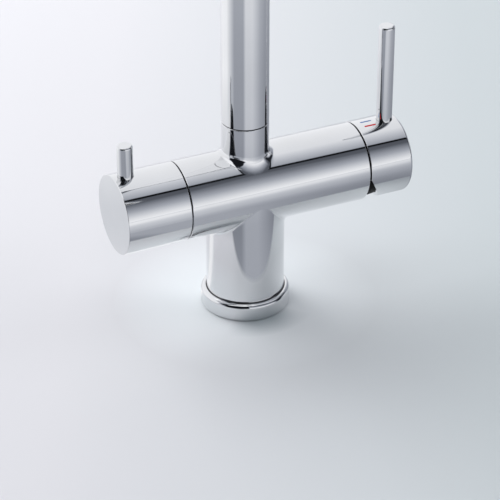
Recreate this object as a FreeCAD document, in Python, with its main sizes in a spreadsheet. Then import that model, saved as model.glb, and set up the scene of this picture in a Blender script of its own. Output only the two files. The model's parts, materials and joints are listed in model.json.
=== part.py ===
"""Kitchen mixer tap with a barrel body, a swivel spout and a second quarter-turn valve.

The origin lies on the worktop at the pillar's axis. +Z is up, +X runs along the barrel towards the
mixer lever, and -Y points at the user. All lengths are millimetres.
"""
import FreeCAD, Part
import math
import os
import re

import Sketcher
from FreeCAD import Placement, Rotation, Vector

# Driving dimensions. A name that ends in angle is in degrees, one that ends in count is a number of copies.
SIZES = {
    # Clearances shared by all fits
    "slip_gap": 0.1,
    "seat_gap": 0.05,
    "swing_gap": 0.3,
    "cut_margin": 1.0,
    # Body casting
    "pillar_radius": 23.3,
    "pillar_wall": 3.7,
    "pillar_roof_drop": 21.0,
    "barrel_radius": 23.7,
    "barrel_axis_height": 78.1,
    "barrel_left_length": 43.2,
    "barrel_right_length": 70.7,
    "stub_height": 19.2,
    "pillar_blend": 3.0,
    "stub_side_blend": 2.0,
    "stub_front_blend": 14.0,
    "edge_break": 0.4,
    # Base ring and gasket
    "ring_radius": 26.65,
    "ring_height": 10.6,
    "ring_rim_round": 2.7,
    "ring_lip_height": 7.5,
    "ring_lift": 0.5,
    "gasket_thickness": 2.0,
    "gasket_inner_radius": 19.5,
    "gasket_outer_radius": 25.4,
    # Inlet block, its supply tubes and the fixing stud
    "spigot_radius": 16.7,
    "spigot_depth": 4.0,
    "spigot_step": 0.2,
    "block_height": 34.0,
    "block_ring_height": 27.0,
    "block_ring_section": 0.8,
    "inlet_side_x": 9.4,
    "inlet_side_y": 1.6,
    "inlet_front_y": 9.5,
    "inlet_thread_radius": 4.5,
    "inlet_thread_depth": 12.0,
    "waterway_radius": 3.0,
    "supply_tube_radius": 5.0,
    "supply_tube_wall": 1.0,
    "supply_socket_depth": 8.0,
    "stud_y": 10.8,
    "stud_radius": 4.0,
    "stud_socket_depth": 12.0,
    "stud_drop": 68.0,
    "stud_chamfer": 0.8,
    # Clamp under the worktop
    "deck_thickness": 30.0,
    "clamp_radius": 24.0,
    "clamp_plate_thickness": 3.0,
    "clamp_washer_thickness": 3.0,
    "clamp_slot_width": 31.0,
    "clamp_slot_end": 4.5,
    "clamp_slot_corner": 5.0,
    "clamp_hole_gap": 0.4,
    "nut_corner_radius": 7.5,
    "nut_height": 12.0,
    # Spout and its swivel
    "spout_radius": 14.0,
    "spout_wall": 1.2,
    "spout_bend_radius": 90.0,
    "spout_bend_height": 316.0,
    "outlet_leg": 18.0,
    "swivel_gap": 0.7,
    "glide_ring_inset": 0.7,
    "foot_radius": 11.0,
    "foot_bore_radius": 8.8,
    "foot_insert_length": 18.0,
    "spout_socket_depth": 29.0,
    "foot_float": 0.6,
    "foot_ring_low": 4.5,
    "foot_ring_high": 11.0,
    "foot_ring_section": 0.85,
    "stop_drop": 7.5,
    "stop_screw_radius": 2.0,
    "stop_dog_radius": 1.4,
    "stop_groove_depth": 1.5,
    "stop_screw_inset": 0.4,
    "swivel_half_angle": 75.0,
    "stop_margin_angle": 9.5,
    # Inner tube for the second water way
    "inner_tube_radius": 5.0,
    "inner_tube_wall": 1.2,
    "inner_socket_depth": 5.0,
    "inner_ring_section": 0.55,
    "inner_ring_depth": 1.7,
    # Outlet
    "bush_wall": 1.3,
    "bush_height": 15.0,
    "bush_shoulder": 2.0,
    "bush_mouth_radius": 8.5,
    "aerator_radius": 13.4,
    "aerator_drop": 8.8,
    "aerator_wall": 1.1,
    "aerator_lip": 1.6,
    "aerator_lip_width": 0.8,
    "aerator_flats": 25.4,
    "aerator_washer_thickness": 1.9,
    "nozzle_radius": 2.6,
    "nozzle_depth": 9.0,
    "jet_circle_radius": 7.6,
    "jet_radius": 1.1,
    "jet_count": 14,
    # Mixer cartridge
    "chamber_radius": 18.0,
    "chamber_depth": 26.2,
    "housing_gap": 0.4,
    "housing_wall": 2.0,
    "housing_front_wall": 2.0,
    "housing_neck_wall": 3.4,
    "housing_neck_length": 9.0,
    "port_plate_thickness": 5.4,
    "port_drop": 9.0,
    "port_low": 2.0,
    "outlet_port_rise": 9.5,
    "port_seal_radius": 3.7,
    "port_seal_section": 0.7,
    "fixed_disc_thickness": 3.5,
    "moving_disc_radius": 8.8,
    "moving_disc_thickness": 3.0,
    "carrier_thickness": 3.85,
    "collar_radius": 5.2,
    "collar_length": 4.1,
    "turret_radius": 11.0,
    "turret_head": 4.5,
    "turret_web": 4.0,
    "pivot_reach": 3.8,
    "pivot_pin_radius": 1.5,
    "pivot_pin_inset": 0.7,
    "stem_width": 8.0,
    "stem_tail_length": 12.0,
    "stem_shoulder": 8.0,
    "stem_tail_radius": 2.8,
    "stem_ball_radius": 3.6,
    "clamp_ring_thread_radius": 19.5,
    "clamp_ring_proud": 0.2,
    "clamp_ring_slot_width": 4.0,
    "clamp_ring_slot_depth": 2.5,
    # Mixer cap, dome ring and lever
    "dome_radius": 21.9,
    "dome_wall": 2.4,
    "dome_length": 15.0,
    "dome_gap": 0.4,
    "cap_gap": 0.9,
    "cap_length": 27.7,
    "cap_round": 1.8,
    "notch_start_drop": 2.0,
    "notch_slope": 0.52,
    "hub_radius": 8.5,
    "hub_offset": 9.5,
    "hub_socket_depth": 9.5,
    "lever_radius": 4.78,
    "lever_inset": 8.2,
    "lever_length": 85.1,
    "lever_round": 1.6,
    "lever_seat_depth": 2.1,
    "lever_tail_radius": 2.5,
    "lever_tail_length": 3.6,
    "cap_screw_radius": 2.5,
    "cap_screw_length": 4.0,
    # Quarter-turn valve on the left
    "valve_floor": 16.0,
    "valve_recess_radius": 20.0,
    "valve_recess_depth": 8.2,
    "valve_thread_radius": 9.5,
    "valve_wall": 2.2,
    "valve_outlet_rise": 7.4,
    "valve_outlet_radius": 1.7,
    "valve_washer_thickness": 1.2,
    "valve_corner_radius": 12.0,
    "valve_hexagon_height": 6.8,
    "valve_neck_radius": 7.5,
    "valve_neck_length": 10.0,
    "valve_port_radius": 1.8,
    "valve_port_offset": 3.9,
    "seat_seal_length": 2.6,
    "seat_seal_bore": 3.6,
    "valve_disc_thickness": 3.0,
    "spindle_radius": 4.0,
    "spindle_flange_thickness": 4.0,
    "spindle_ring_section": 0.5,
    "spindle_ring_first": 7.0,
    "spindle_ring_pitch": 6.0,
    "clip_thickness": 1.0,
    "clip_depth": 0.8,
    "clip_width": 2.4,
    # Cap and pin of the quarter-turn valve
    "knob_gap": 0.6,
    "knob_length": 39.0,
    "knob_wall": 3.2,
    "knob_end_length": 15.0,
    "knob_socket_depth": 8.4,
    "pin_radius": 4.69,
    "pin_inset": 7.8,
    "pin_length": 43.5,
    "pin_round": 1.4,
    "pin_seat_depth": 2.3,
    "pin_tail_radius": 2.5,
    "pin_tail_length": 7.5,
    "knob_screw_radius": 2.0,
    "knob_screw_inset": 11.0,
    "knob_screw_length": 8.0,
    "screw_socket_share": 0.6,
}

# Places and fits that follow from the driving dimensions
PLACES = {
    # Pillar and supply
    "pillar_bore": "pillar_radius - pillar_wall",
    "lip_top": "ring_height + ring_lip_height",
    "block_radius": "pillar_bore - slip_gap",
    "roof_height": "barrel_axis_height - pillar_roof_drop",
    "supply_start": "block_height - supply_socket_depth + seat_gap",
    "supply_end": "roof_height + supply_socket_depth - seat_gap",
    "supply_socket_radius": "supply_tube_radius + slip_gap",
    "hot_port_height": "barrel_axis_height - port_drop",
    "cold_port_height": "barrel_axis_height - port_low",
    "outlet_port_height": "barrel_axis_height + outlet_port_rise",
    # Clamp
    "washer_bottom": "-deck_thickness - clamp_washer_thickness",
    "plate_bottom": "washer_bottom - clamp_plate_thickness",
    # Spout
    "stub_top": "barrel_axis_height + barrel_radius + stub_height",
    "spout_start": "stub_top + swivel_gap",
    "spout_bore": "spout_radius - spout_wall",
    "spout_reach": "2 * spout_bend_radius",
    "socket_radius": "foot_radius + slip_gap",
    "socket_floor": "stub_top - spout_socket_depth",
    "stop_height": "stub_top - stop_drop",
    "foot_ring_radius": "foot_radius + seat_gap - foot_ring_section",
    "foot_groove_radius": "foot_ring_radius - foot_ring_section - slip_gap",
    "foot_groove_half": "foot_ring_section + slip_gap",
    "inner_start": "socket_floor - inner_socket_depth + swing_gap",
    "inner_ring_radius": "inner_tube_radius + slip_gap + inner_ring_section",
    "inner_ring_seat": "inner_ring_radius + inner_ring_section + seat_gap",
    "mixed_riser_radius": "(foot_radius - inner_ring_seat) / 2 - swing_gap",
    "mixed_riser_x": "(foot_radius + inner_ring_seat) / 2",
    # Outlet
    "outlet_end": "spout_bend_height - outlet_leg",
    "bush_radius": "spout_bore - slip_gap",
    "bush_bore": "bush_radius - bush_wall",
    "bush_top": "outlet_end + bush_height",
    "aerator_top": "bush_top - bush_shoulder - aerator_washer_thickness - 2 * seat_gap",
    "aerator_bottom": "outlet_end - aerator_drop",
    "aerator_bore": "bush_bore - slip_gap - aerator_wall",
    "insert_bottom": "aerator_bottom + aerator_lip + seat_gap",
    "nozzle_end": "insert_bottom + nozzle_depth",
    "inner_end": "nozzle_end + seat_gap",
    # Cartridge, along the barrel from the pillar's axis
    "chamber_floor": "barrel_right_length - chamber_depth",
    "housing_radius": "chamber_radius - housing_gap",
    "housing_bore": "housing_radius - housing_wall",
    "port_plate_start": "chamber_floor + seat_gap",
    "port_plate_end": "port_plate_start + port_plate_thickness",
    "fixed_disc_end": "port_plate_end + fixed_disc_thickness",
    "moving_disc_start": "fixed_disc_end + seat_gap",
    "moving_disc_end": "moving_disc_start + moving_disc_thickness",
    "carrier_end": "moving_disc_end + carrier_thickness",
    "collar_end": "carrier_end + collar_length",
    "turret_start": "moving_disc_end + swing_gap",
    "turret_shoulder": "carrier_end + swing_gap",
    "turret_flange_radius": "housing_bore - swing_gap",
    "turret_bore": "turret_radius + slip_gap",
    "housing_shoulder": "turret_shoulder + swing_gap",
    "housing_front": "housing_shoulder + housing_front_wall",
    "housing_end": "housing_front + housing_neck_length",
    "housing_neck_radius": "turret_bore + housing_neck_wall",
    "clamp_ring_start": "housing_front + seat_gap",
    "clamp_ring_end": "barrel_right_length + clamp_ring_proud",
    "clamp_ring_radius": "clamp_ring_thread_radius - slip_gap",
    "clamp_ring_bore": "housing_neck_radius + slip_gap",
    "lever_pivot": "barrel_right_length + pivot_reach",
    "turret_end": "lever_pivot + turret_head",
    "ball_place": "lever_pivot - stem_tail_length",
    "stem_start": "lever_pivot - stem_shoulder",
    "hub_start": "lever_pivot + hub_offset",
    "hub_socket_end": "hub_start + hub_socket_depth",
    "stem_end": "hub_socket_end - swing_gap",
    "stem_socket": "stem_width + slip_gap",
    "pin_reach": "turret_radius - pivot_pin_inset",
    # Mixer cap
    "dome_start": "clamp_ring_end + seat_gap",
    "cap_start": "barrel_right_length + cap_gap",
    "cap_end": "cap_start + cap_length",
    "cap_bore": "dome_radius + dome_gap",
    "lever_x": "cap_end - lever_inset",
    "lever_seat": "barrel_radius - lever_seat_depth",
    "lever_tail_end": "lever_seat - lever_tail_length",
    "cap_screw_seat": "stem_width / 2 + seat_gap",
    # Quarter-turn valve, to the left from the pillar's axis
    "valve_seat": "barrel_left_length - valve_recess_depth",
    "valve_radius": "valve_thread_radius - slip_gap",
    "valve_bore": "valve_radius - valve_wall",
    "valve_disc_radius": "valve_bore - slip_gap",
    "seat_seal_end": "valve_floor + seat_gap + seat_seal_length",
    "valve_start": "valve_floor + swing_gap",
    "valve_fixed_start": "seat_seal_end + seat_gap",
    "valve_fixed_end": "valve_fixed_start + valve_disc_thickness",
    "valve_moving_start": "valve_fixed_end + seat_gap",
    "valve_moving_end": "valve_moving_start + valve_disc_thickness",
    "spindle_flange_end": "valve_moving_end + spindle_flange_thickness",
    "valve_shoulder": "spindle_flange_end + swing_gap",
    "valve_flange_start": "valve_seat + valve_washer_thickness",
    "valve_flange_end": "valve_flange_start + valve_hexagon_height",
    "valve_end": "valve_flange_end + valve_neck_length",
    "spindle_bore": "spindle_radius + slip_gap",
    "spindle_ring_radius": "spindle_radius + seat_gap - spindle_ring_section",
    "spindle_groove_radius": "spindle_ring_radius - spindle_ring_section - seat_gap",
    "spindle_groove_half": "spindle_ring_section + slip_gap",
    "ring_one_place": "valve_shoulder + spindle_ring_first",
    "ring_two_place": "ring_one_place + spindle_ring_pitch",
    "clip_start": "valve_end + seat_gap",
    "clip_end": "clip_start + clip_thickness",
    "clip_groove_radius": "spindle_radius - clip_depth",
    # Cap of the quarter-turn valve
    "knob_start": "barrel_left_length + knob_gap",
    "knob_end": "knob_start + knob_length",
    "knob_floor": "knob_end - knob_end_length",
    "knob_bore": "barrel_radius - knob_wall",
    "knob_socket_end": "knob_floor + knob_socket_depth",
    "spindle_end": "knob_socket_end - seat_gap",
    "pin_x": "knob_end - pin_inset",
    "pin_seat": "barrel_radius - pin_seat_depth",
    "pin_tail_end": "pin_seat - pin_tail_length",
    "knob_screw_x": "knob_end - knob_screw_inset",
    "knob_screw_seat": "spindle_radius + seat_gap",
}

ADD = "Additive"
CUT = "Subtractive"
FULL_TURN_ANGLE = 360
QUARTER_ANGLE = 90
HEXAGON_SIDE_COUNT = 6
SAME = 0.001
TURNS = {
    "up": Rotation(),
    "right": Rotation(Vector(0, 1, 0), 90),
    "left": Rotation(Vector(0, 1, 0), -90),
    "back": Rotation(Vector(1, 0, 0), -90),
    "down": Rotation(Vector(1, 0, 0), 180),
}
PILLAR = ("0", "0", "0")
BARREL = ("0", "0", "barrel_axis_height")
FACING_LEFT = Rotation(Vector(0, 0, 1), 180)
STEP_FOLDER = "parts"

doc = FreeCAD.newDocument("MixerTap")
nodes = []


def bound(text):
    """Write the sheet's name before every size or place in an expression."""
    def with_sheet(word):
        name = word.group()
        if name in SIZES:
            return "Sizes." + name
        if name in PLACES:
            return "Places." + name
        return name
    return re.sub(r"[a-z]\w*", with_sheet, text)


def fill_sheet(name, cells):
    """Make a sheet with one named cell for each entry."""
    sheet = doc.addObject("Spreadsheet::Sheet", name)
    for row, (alias, text) in enumerate(cells.items(), 1):
        sheet.set(f"A{row}", alias)
        sheet.set(f"B{row}", text)
        sheet.setAlias(f"B{row}", alias)
    doc.recompute()
    return sheet


sizes = fill_sheet("Sizes", {name: str(value) for name, value in SIZES.items()})
places = fill_sheet("Places", {name: "=" + bound(text) for name, text in PLACES.items()})


def number(name):
    """The present value of a size or place."""
    return float(getattr(sizes if name in SIZES else places, name))


def bind(item, path, text):
    item.setExpression(path, bound(text))


def settle(item, at, turn):
    """Turn an item, then bind its base point to the sheets."""
    item.Placement = Placement(Vector(), turn)
    for axis, text in zip("xyz", at):
        bind(item, "Placement.Base." + axis, text)


def new_body(label, at=PILLAR, turn=Rotation()):
    body = doc.addObject("PartDesign::Body", label)
    body.Label = label
    settle(body, at, turn)
    nodes.append(body)
    return body


def cylinder(body, name, action, radius, length, axis, at):
    feature = body.newObject(f"PartDesign::{action}Cylinder", name)
    settle(feature, at, TURNS[axis])
    bind(feature, "Radius", radius)
    bind(feature, "Height", length)
    return feature


def ball(body, name, action, radius, at):
    feature = body.newObject(f"PartDesign::{action}Sphere", name)
    settle(feature, at, Rotation())
    bind(feature, "Radius", radius)
    return feature


def block(body, name, action, spans):
    """A box from three (low, high) pairs of expressions."""
    feature = body.newObject(f"PartDesign::{action}Box", name)
    settle(feature, [low for low, high in spans], Rotation())
    for side, (low, high) in zip(("Length", "Width", "Height"), spans):
        bind(feature, side, f"({high}) - ({low})")
    return feature


def hexagon(body, name, action, corner_radius, length, axis, at):
    feature = body.newObject(f"PartDesign::{action}Prism", name)
    feature.Polygon = HEXAGON_SIDE_COUNT
    settle(feature, at, TURNS[axis])
    bind(feature, "Circumradius", corner_radius)
    bind(feature, "Height", length)
    return feature


def new_sketch(body, name, role):
    sketch = body.newObject("Sketcher::SketchObject", name)
    plane = next(item for item in body.Origin.OriginFeatures if item.Role == role)
    sketch.AttachmentSupport = (plane, [""])
    sketch.MapMode = "FlatFace"
    return sketch


def hold(sketch, kind, geometry, end, text):
    """Hold one end of a line at a bound distance from the sketch's origin, starting where it lies."""
    point = sketch.getPoint(geometry, end)
    present = point.x if kind == "DistanceX" else point.y
    held = sketch.addConstraint(Sketcher.Constraint(kind, -1, 1, geometry, end, present))
    sketch.setExpression(f"Constraints[{held}]", bound(text))


def fix_point(sketch, geometry, end, across, along):
    hold(sketch, "DistanceX", geometry, end, across)
    hold(sketch, "DistanceY", geometry, end, along)


def polygon(body, name, role, corners):
    """A closed outline whose corners are all bound to the sheets."""
    sketch = new_sketch(body, name, role)
    count = len(corners)
    spots = []
    for index in range(count):
        turn = 2 * math.pi * index / count
        spots.append(Vector(math.cos(turn), math.sin(turn), 0))
    for index in range(count):
        sketch.addGeometry(Part.LineSegment(spots[index], spots[(index + 1) % count]))
    for index in range(count):
        sketch.addConstraint(Sketcher.Constraint("Coincident", index, 2, (index + 1) % count, 1))
    for index, (across, along) in enumerate(corners):
        fix_point(sketch, index, 1, across, along)
    return sketch


def turned(body, name, corners, along="Z"):
    """Revolve an outline of (radius, place along the axis) corners."""
    if along == "Z":
        sketch = polygon(body, name + "Outline", "XZ_Plane", corners)
        axis = "V_Axis"
    else:
        sketch = polygon(body, name + "Outline", "XY_Plane", [(place, radius) for radius, place in corners])
        axis = "H_Axis"
    feature = body.newObject("PartDesign::Revolution", name)
    feature.Profile = sketch
    feature.ReferenceAxis = (sketch, [axis])
    feature.Angle = FULL_TURN_ANGLE
    return feature


def sleeve(body, name, inner, outer, start, end, along="Z"):
    return turned(body, name, [(inner, start), (outer, start), (outer, end), (inner, end)], along)


def dressed(body, name, kind, size, wanted):
    """Fillet or chamfer the edges of the body's tip that pass a test."""
    doc.recompute()
    base = body.Tip
    edges = [f"Edge{index}" for index, edge in enumerate(base.Shape.Edges, 1) if wanted(edge)]
    feature = body.newObject("PartDesign::" + kind, name)
    feature.Base = (base, edges)
    bind(feature, "Radius" if kind == "Fillet" else "Size", size)
    return feature


def is_circle(edge):
    return edge.Curve.TypeId == "Part::GeomCircle"


def is_cast_corner(edge):
    return edge.Curve.TypeId not in ("Part::GeomCircle", "Part::GeomLine")


def rim(radius, place, axis):
    """A test for the circle of a given radius at a given place along an axis of the body."""
    def wanted(edge):
        if not is_circle(edge):
            return False
        same_radius = abs(edge.Curve.Radius - number(radius)) < SAME
        return same_radius and abs(getattr(edge.Curve.Center, axis) - number(place)) < SAME
    return wanted


def torus(name, radius, section, axis, at):
    ring = doc.addObject("Part::Torus", name)
    settle(ring, at, TURNS[axis])
    bind(ring, "Radius1", radius)
    bind(ring, "Radius2", section)
    return ring


def o_ring(label, radius, section, axis, at):
    ring = torus(label, radius, section, axis, at)
    ring.Label = label
    nodes.append(ring)
    return ring


def ring_set(label, rings):
    """Several rings that share one node."""
    group = doc.addObject("Part::Compound", label)
    group.Label = label
    group.Links = rings
    nodes.append(group)
    return group


INLETS = {
    "hot": ("inlet_side_x", "-inlet_side_y"),
    "cold": ("0", "-inlet_front_y"),
    "filter": ("-inlet_side_x", "-inlet_side_y"),
}
PORTS = {
    "Hot": ("-inlet_side_y", "-port_drop"),
    "Cold": ("-inlet_front_y", "-port_low"),
    "Mixed": ("0", "outlet_port_rise"),
}


def make_body_casting():
    """Pillar, barrel and spout stub in one casting, then its chambers, sockets and water ways."""
    blank = doc.addObject("PartDesign::Body", "CastingBlank")
    cylinder(blank, "Pillar", ADD, "pillar_radius", "barrel_axis_height - ring_height", "up",
             ("0", "0", "ring_height"))
    cylinder(blank, "Barrel", ADD, "barrel_radius", "barrel_left_length + barrel_right_length", "right",
             ("-barrel_left_length", "0", "barrel_axis_height"))
    dressed(blank, "PillarBlend", "Fillet", "pillar_blend", is_cast_corner)
    add_stub(blank)
    body = new_body("body_casting")
    body.BaseFeature = blend_stub(blank)
    dressed(body, "RimBreak", "Fillet", "edge_break", is_circle)
    drill_chambers(body)
    drill_waterways(body)


def add_stub(blank):
    """The stub in four quarters, so that its corner with the barrel is parted at front, back and sides."""
    for turn in range(0, FULL_TURN_ANGLE, QUARTER_ANGLE):
        quarter = cylinder(blank, f"Stub{turn}", ADD, "spout_radius", "stub_top - barrel_axis_height", "up",
                           BARREL)
        quarter.Angle = QUARTER_ANGLE
        quarter.Refine = False
        settle(quarter, BARREL, Rotation(Vector(0, 0, 1), turn))


def blend_size(point):
    """The hollow's radius at one point of the corner between the stub and the barrel."""
    if abs(point.y) < SAME:
        return number("stub_side_blend")
    return number("stub_front_blend")


def blend_stub(blank):
    """A hollow round the stub that is tight at its sides and wide towards the front and back."""
    doc.recompute()
    rows = []
    for index, edge in enumerate(blank.Shape.Edges, 1):
        if is_cast_corner(edge) and edge.CenterOfMass.z > number("barrel_axis_height"):
            start = edge.firstVertex(True).Point
            end = edge.lastVertex(True).Point
            rows.append((index, blend_size(start), blend_size(end)))
    blend = doc.addObject("Part::Fillet", "StubBlend")
    blend.Base = blank
    blend.Edges = rows
    return blend


def drill_chambers(body):
    cylinder(body, "PillarCavity", CUT, "pillar_bore", "roof_height - ring_height", "up",
             ("0", "0", "ring_height"))
    cylinder(body, "SpoutSocket", CUT, "socket_radius", "spout_socket_depth", "up",
             ("0", "0", "socket_floor"))
    cylinder(body, "StopScrewHole", CUT, "stop_screw_radius + seat_gap", "spout_radius + cut_margin",
             "back", ("0", "0", "stop_height"))
    cylinder(body, "CartridgeChamber", CUT, "chamber_radius", "chamber_depth", "right",
             ("chamber_floor", "0", "barrel_axis_height"))
    cylinder(body, "ClampRingThread", CUT, "clamp_ring_thread_radius",
             "barrel_right_length - housing_front", "right", ("housing_front", "0", "barrel_axis_height"))
    cylinder(body, "ValveRecess", CUT, "valve_recess_radius", "valve_recess_depth", "left",
             ("-valve_seat", "0", "barrel_axis_height"))
    cylinder(body, "ValveChamber", CUT, "valve_thread_radius", "valve_seat - valve_floor", "left",
             ("-valve_floor", "0", "barrel_axis_height"))


def drill_waterways(body):
    for name, (x, y) in INLETS.items():
        cylinder(body, name.title() + "TubeSocket", CUT, "supply_socket_radius", "supply_socket_depth",
                 "up", (x, y, "roof_height"))
    risers = {"hot": "hot_port_height", "cold": "cold_port_height", "filter": "barrel_axis_height"}
    for name, top in risers.items():
        x, y = INLETS[name]
        cylinder(body, name.title() + "Riser", CUT, "waterway_radius",
                 f"{top} - roof_height - supply_socket_depth", "up",
                 (x, y, "roof_height + supply_socket_depth"))
    for name in ("hot", "cold"):
        x, y = INLETS[name]
        cylinder(body, name.title() + "Channel", CUT, "waterway_radius", f"chamber_floor - ({x})", "right",
                 (x, y, risers[name]))
    cylinder(body, "MixedChannel", CUT, "waterway_radius", "chamber_floor - mixed_riser_x", "right",
             ("mixed_riser_x", "0", "outlet_port_height"))
    cylinder(body, "MixedRiser", CUT, "mixed_riser_radius", "socket_floor - outlet_port_height", "up",
             ("mixed_riser_x", "0", "outlet_port_height"))
    cylinder(body, "FilterInlet", CUT, "waterway_radius", "valve_floor - inlet_side_x", "left",
             ("-inlet_side_x", "0", "barrel_axis_height"))
    cylinder(body, "FilterChannel", CUT, "valve_outlet_radius", "valve_floor", "left",
             ("0", "0", "barrel_axis_height + valve_outlet_rise"))
    cylinder(body, "FilterRiser", CUT, "nozzle_radius",
             "socket_floor - barrel_axis_height - valve_outlet_rise", "up",
             ("0", "0", "barrel_axis_height + valve_outlet_rise"))
    cylinder(body, "InnerTubeSocket", CUT, "inner_tube_radius + slip_gap", "inner_socket_depth", "up",
             ("0", "0", "socket_floor - inner_socket_depth"))
    cylinder(body, "InnerRingSeat", CUT, "inner_ring_seat", "inner_ring_depth", "up",
             ("0", "0", "socket_floor - inner_ring_depth"))


def make_base():
    """The rounded ring that the pillar stands on, and the gasket in its underside."""
    body = new_body("base_ring")
    turned(body, "Ring", [
        ("spigot_radius + slip_gap", "ring_lift"),
        ("gasket_inner_radius - slip_gap", "ring_lift"),
        ("gasket_inner_radius - slip_gap", "gasket_thickness"),
        ("gasket_outer_radius + slip_gap", "gasket_thickness"),
        ("gasket_outer_radius + slip_gap", "ring_lift"),
        ("ring_radius", "ring_lift"),
        ("ring_radius", "ring_height"),
        ("pillar_bore - slip_gap", "ring_height"),
        ("pillar_bore - slip_gap", "lip_top"),
        ("spigot_radius + slip_gap", "lip_top"),
    ])
    dressed(body, "RimRound", "Fillet", "ring_rim_round", rim("ring_radius", "ring_height", "z"))
    sleeve(new_body("base_gasket"), "Gasket", "gasket_inner_radius", "gasket_outer_radius", "0",
           "gasket_thickness")


def make_inlet_block():
    """The block screwed into the pillar, with a threaded socket for each hose and for the stud."""
    body = new_body("inlet_block")
    groove_low = "block_ring_height - block_ring_section - slip_gap"
    groove_high = "block_ring_height + block_ring_section + slip_gap"
    groove_floor = "block_radius - 2 * block_ring_section - slip_gap"
    turned(body, "Block", [
        ("0", "-spigot_depth"),
        ("spigot_radius", "-spigot_depth"),
        ("spigot_radius", "0"),
        ("spigot_radius - spigot_step", "0"),
        ("spigot_radius - spigot_step", "lip_top + seat_gap"),
        ("block_radius", "lip_top + seat_gap"),
        ("block_radius", groove_low),
        (groove_floor, groove_low),
        (groove_floor, groove_high),
        ("block_radius", groove_high),
        ("block_radius", "block_height"),
        ("0", "block_height"),
    ])
    for name, (x, y) in INLETS.items():
        title = name.title()
        cylinder(body, title + "Thread", CUT, "inlet_thread_radius", "inlet_thread_depth", "up",
                 (x, y, "-spigot_depth"))
        cylinder(body, title + "Way", CUT, "waterway_radius", "block_height + spigot_depth", "up",
                 (x, y, "-spigot_depth"))
        cylinder(body, title + "Socket", CUT, "supply_socket_radius", "supply_socket_depth", "up",
                 (x, y, "block_height - supply_socket_depth"))
    cylinder(body, "StudSocket", CUT, "stud_radius + seat_gap", "stud_socket_depth", "up",
             ("0", "stud_y", "-spigot_depth"))
    o_ring("block_o_ring", "block_radius + seat_gap - block_ring_section", "block_ring_section", "up",
           ("0", "0", "block_ring_height"))
    for name, (x, y) in INLETS.items():
        tube = new_body(name + "_supply_tube", (x, y, "0"))
        sleeve(tube, "Tube", "supply_tube_radius - supply_tube_wall", "supply_tube_radius", "supply_start",
               "supply_end")


def make_stud():
    body = new_body("mounting_stud", ("0", "stud_y", "0"))
    cylinder(body, "Stud", ADD, "stud_radius", "stud_drop - spigot_depth + stud_socket_depth - seat_gap",
             "up", ("0", "0", "-stud_drop"))
    dressed(body, "EndChamfer", "Chamfer", "stud_chamfer", is_circle)


def horseshoe(label, bottom, thickness):
    """A round plate with a slot for the hoses, open to the front, and a hole for the stud."""
    body = new_body(label)
    cylinder(body, "Disc", ADD, "clamp_radius", thickness, "up", ("0", "0", bottom))
    block(body, "HoseSlot", CUT, (
        ("-clamp_slot_width / 2", "clamp_slot_width / 2"),
        ("-clamp_radius - cut_margin", "clamp_slot_end"),
        (bottom, f"{bottom} + {thickness}"),
    ))

    def is_slot_corner(edge):
        point = edge.CenterOfMass
        upright = abs(edge.BoundBox.ZLength - edge.Length) < SAME
        return upright and abs(point.y - number("clamp_slot_end")) < SAME

    dressed(body, "SlotCorner", "Fillet", "clamp_slot_corner", is_slot_corner)
    cylinder(body, "StudHole", CUT, "stud_radius + clamp_hole_gap", thickness, "up",
             ("0", "stud_y", bottom))


def make_clamp():
    """What holds the tap from under the worktop."""
    horseshoe("clamp_washer", "washer_bottom", "clamp_washer_thickness")
    horseshoe("clamp_plate", "plate_bottom", "clamp_plate_thickness")
    body = new_body("clamp_nut", ("0", "stud_y", "plate_bottom"))
    hexagon(body, "Hexagon", ADD, "nut_corner_radius", "nut_height", "down", PILLAR)
    cylinder(body, "Thread", CUT, "stud_radius + slip_gap", "nut_height", "down", PILLAR)


def spout_path(body, name, start, end):
    """Up from start, over the bend and down to end, in the plane of the spout."""
    sketch = new_sketch(body, name, "YZ_Plane")
    bend = number("spout_bend_radius")
    height = number("spout_bend_height")
    centre = Vector(-bend, height, 0)
    foot = Vector(0, number(start), 0)
    mouth = Vector(-2 * bend, number(end), 0)
    arch = Part.Circle(centre, Vector(0, 0, 1), bend)
    sketch.addGeometry(Part.LineSegment(foot, Vector(0, height, 0)))
    sketch.addGeometry(Part.ArcOfCircle(arch, 0, math.pi))
    sketch.addGeometry(Part.LineSegment(Vector(-2 * bend, height, 0), mouth))
    sketch.addConstraint(Sketcher.Constraint("Coincident", 0, 2, 1, 1))
    sketch.addConstraint(Sketcher.Constraint("Coincident", 1, 2, 2, 1))
    fix_point(sketch, 0, 1, "0", start)
    fix_point(sketch, 0, 2, "0", "spout_bend_height")
    fix_point(sketch, 1, 3, "-spout_bend_radius", "spout_bend_height")
    hold(sketch, "DistanceY", 2, 1, "spout_bend_height")
    fix_point(sketch, 2, 2, "-spout_reach", end)
    return sketch


def bent_tube(label, radius, bore, start, end):
    """A round tube that follows the spout's path."""
    body = new_body(label)
    path = spout_path(body, "Path", start, end)
    section = new_sketch(body, "Section", "XY_Plane")
    bind(section, "AttachmentOffset.Base.z", start)
    for index, size in enumerate((radius, bore)):
        section.addGeometry(Part.Circle(Vector(), Vector(0, 0, 1), index + 1))
        section.addConstraint(Sketcher.Constraint("Coincident", index, 3, -1, 1))
        held = section.addConstraint(Sketcher.Constraint("Radius", index, 1.0 + index))
        section.setExpression(f"Constraints[{held}]", bound(size))
    doc.recompute()
    pipe = body.newObject("PartDesign::AdditivePipe", "Tube")
    pipe.Profile = section
    pipe.Spine = path
    return body


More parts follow.
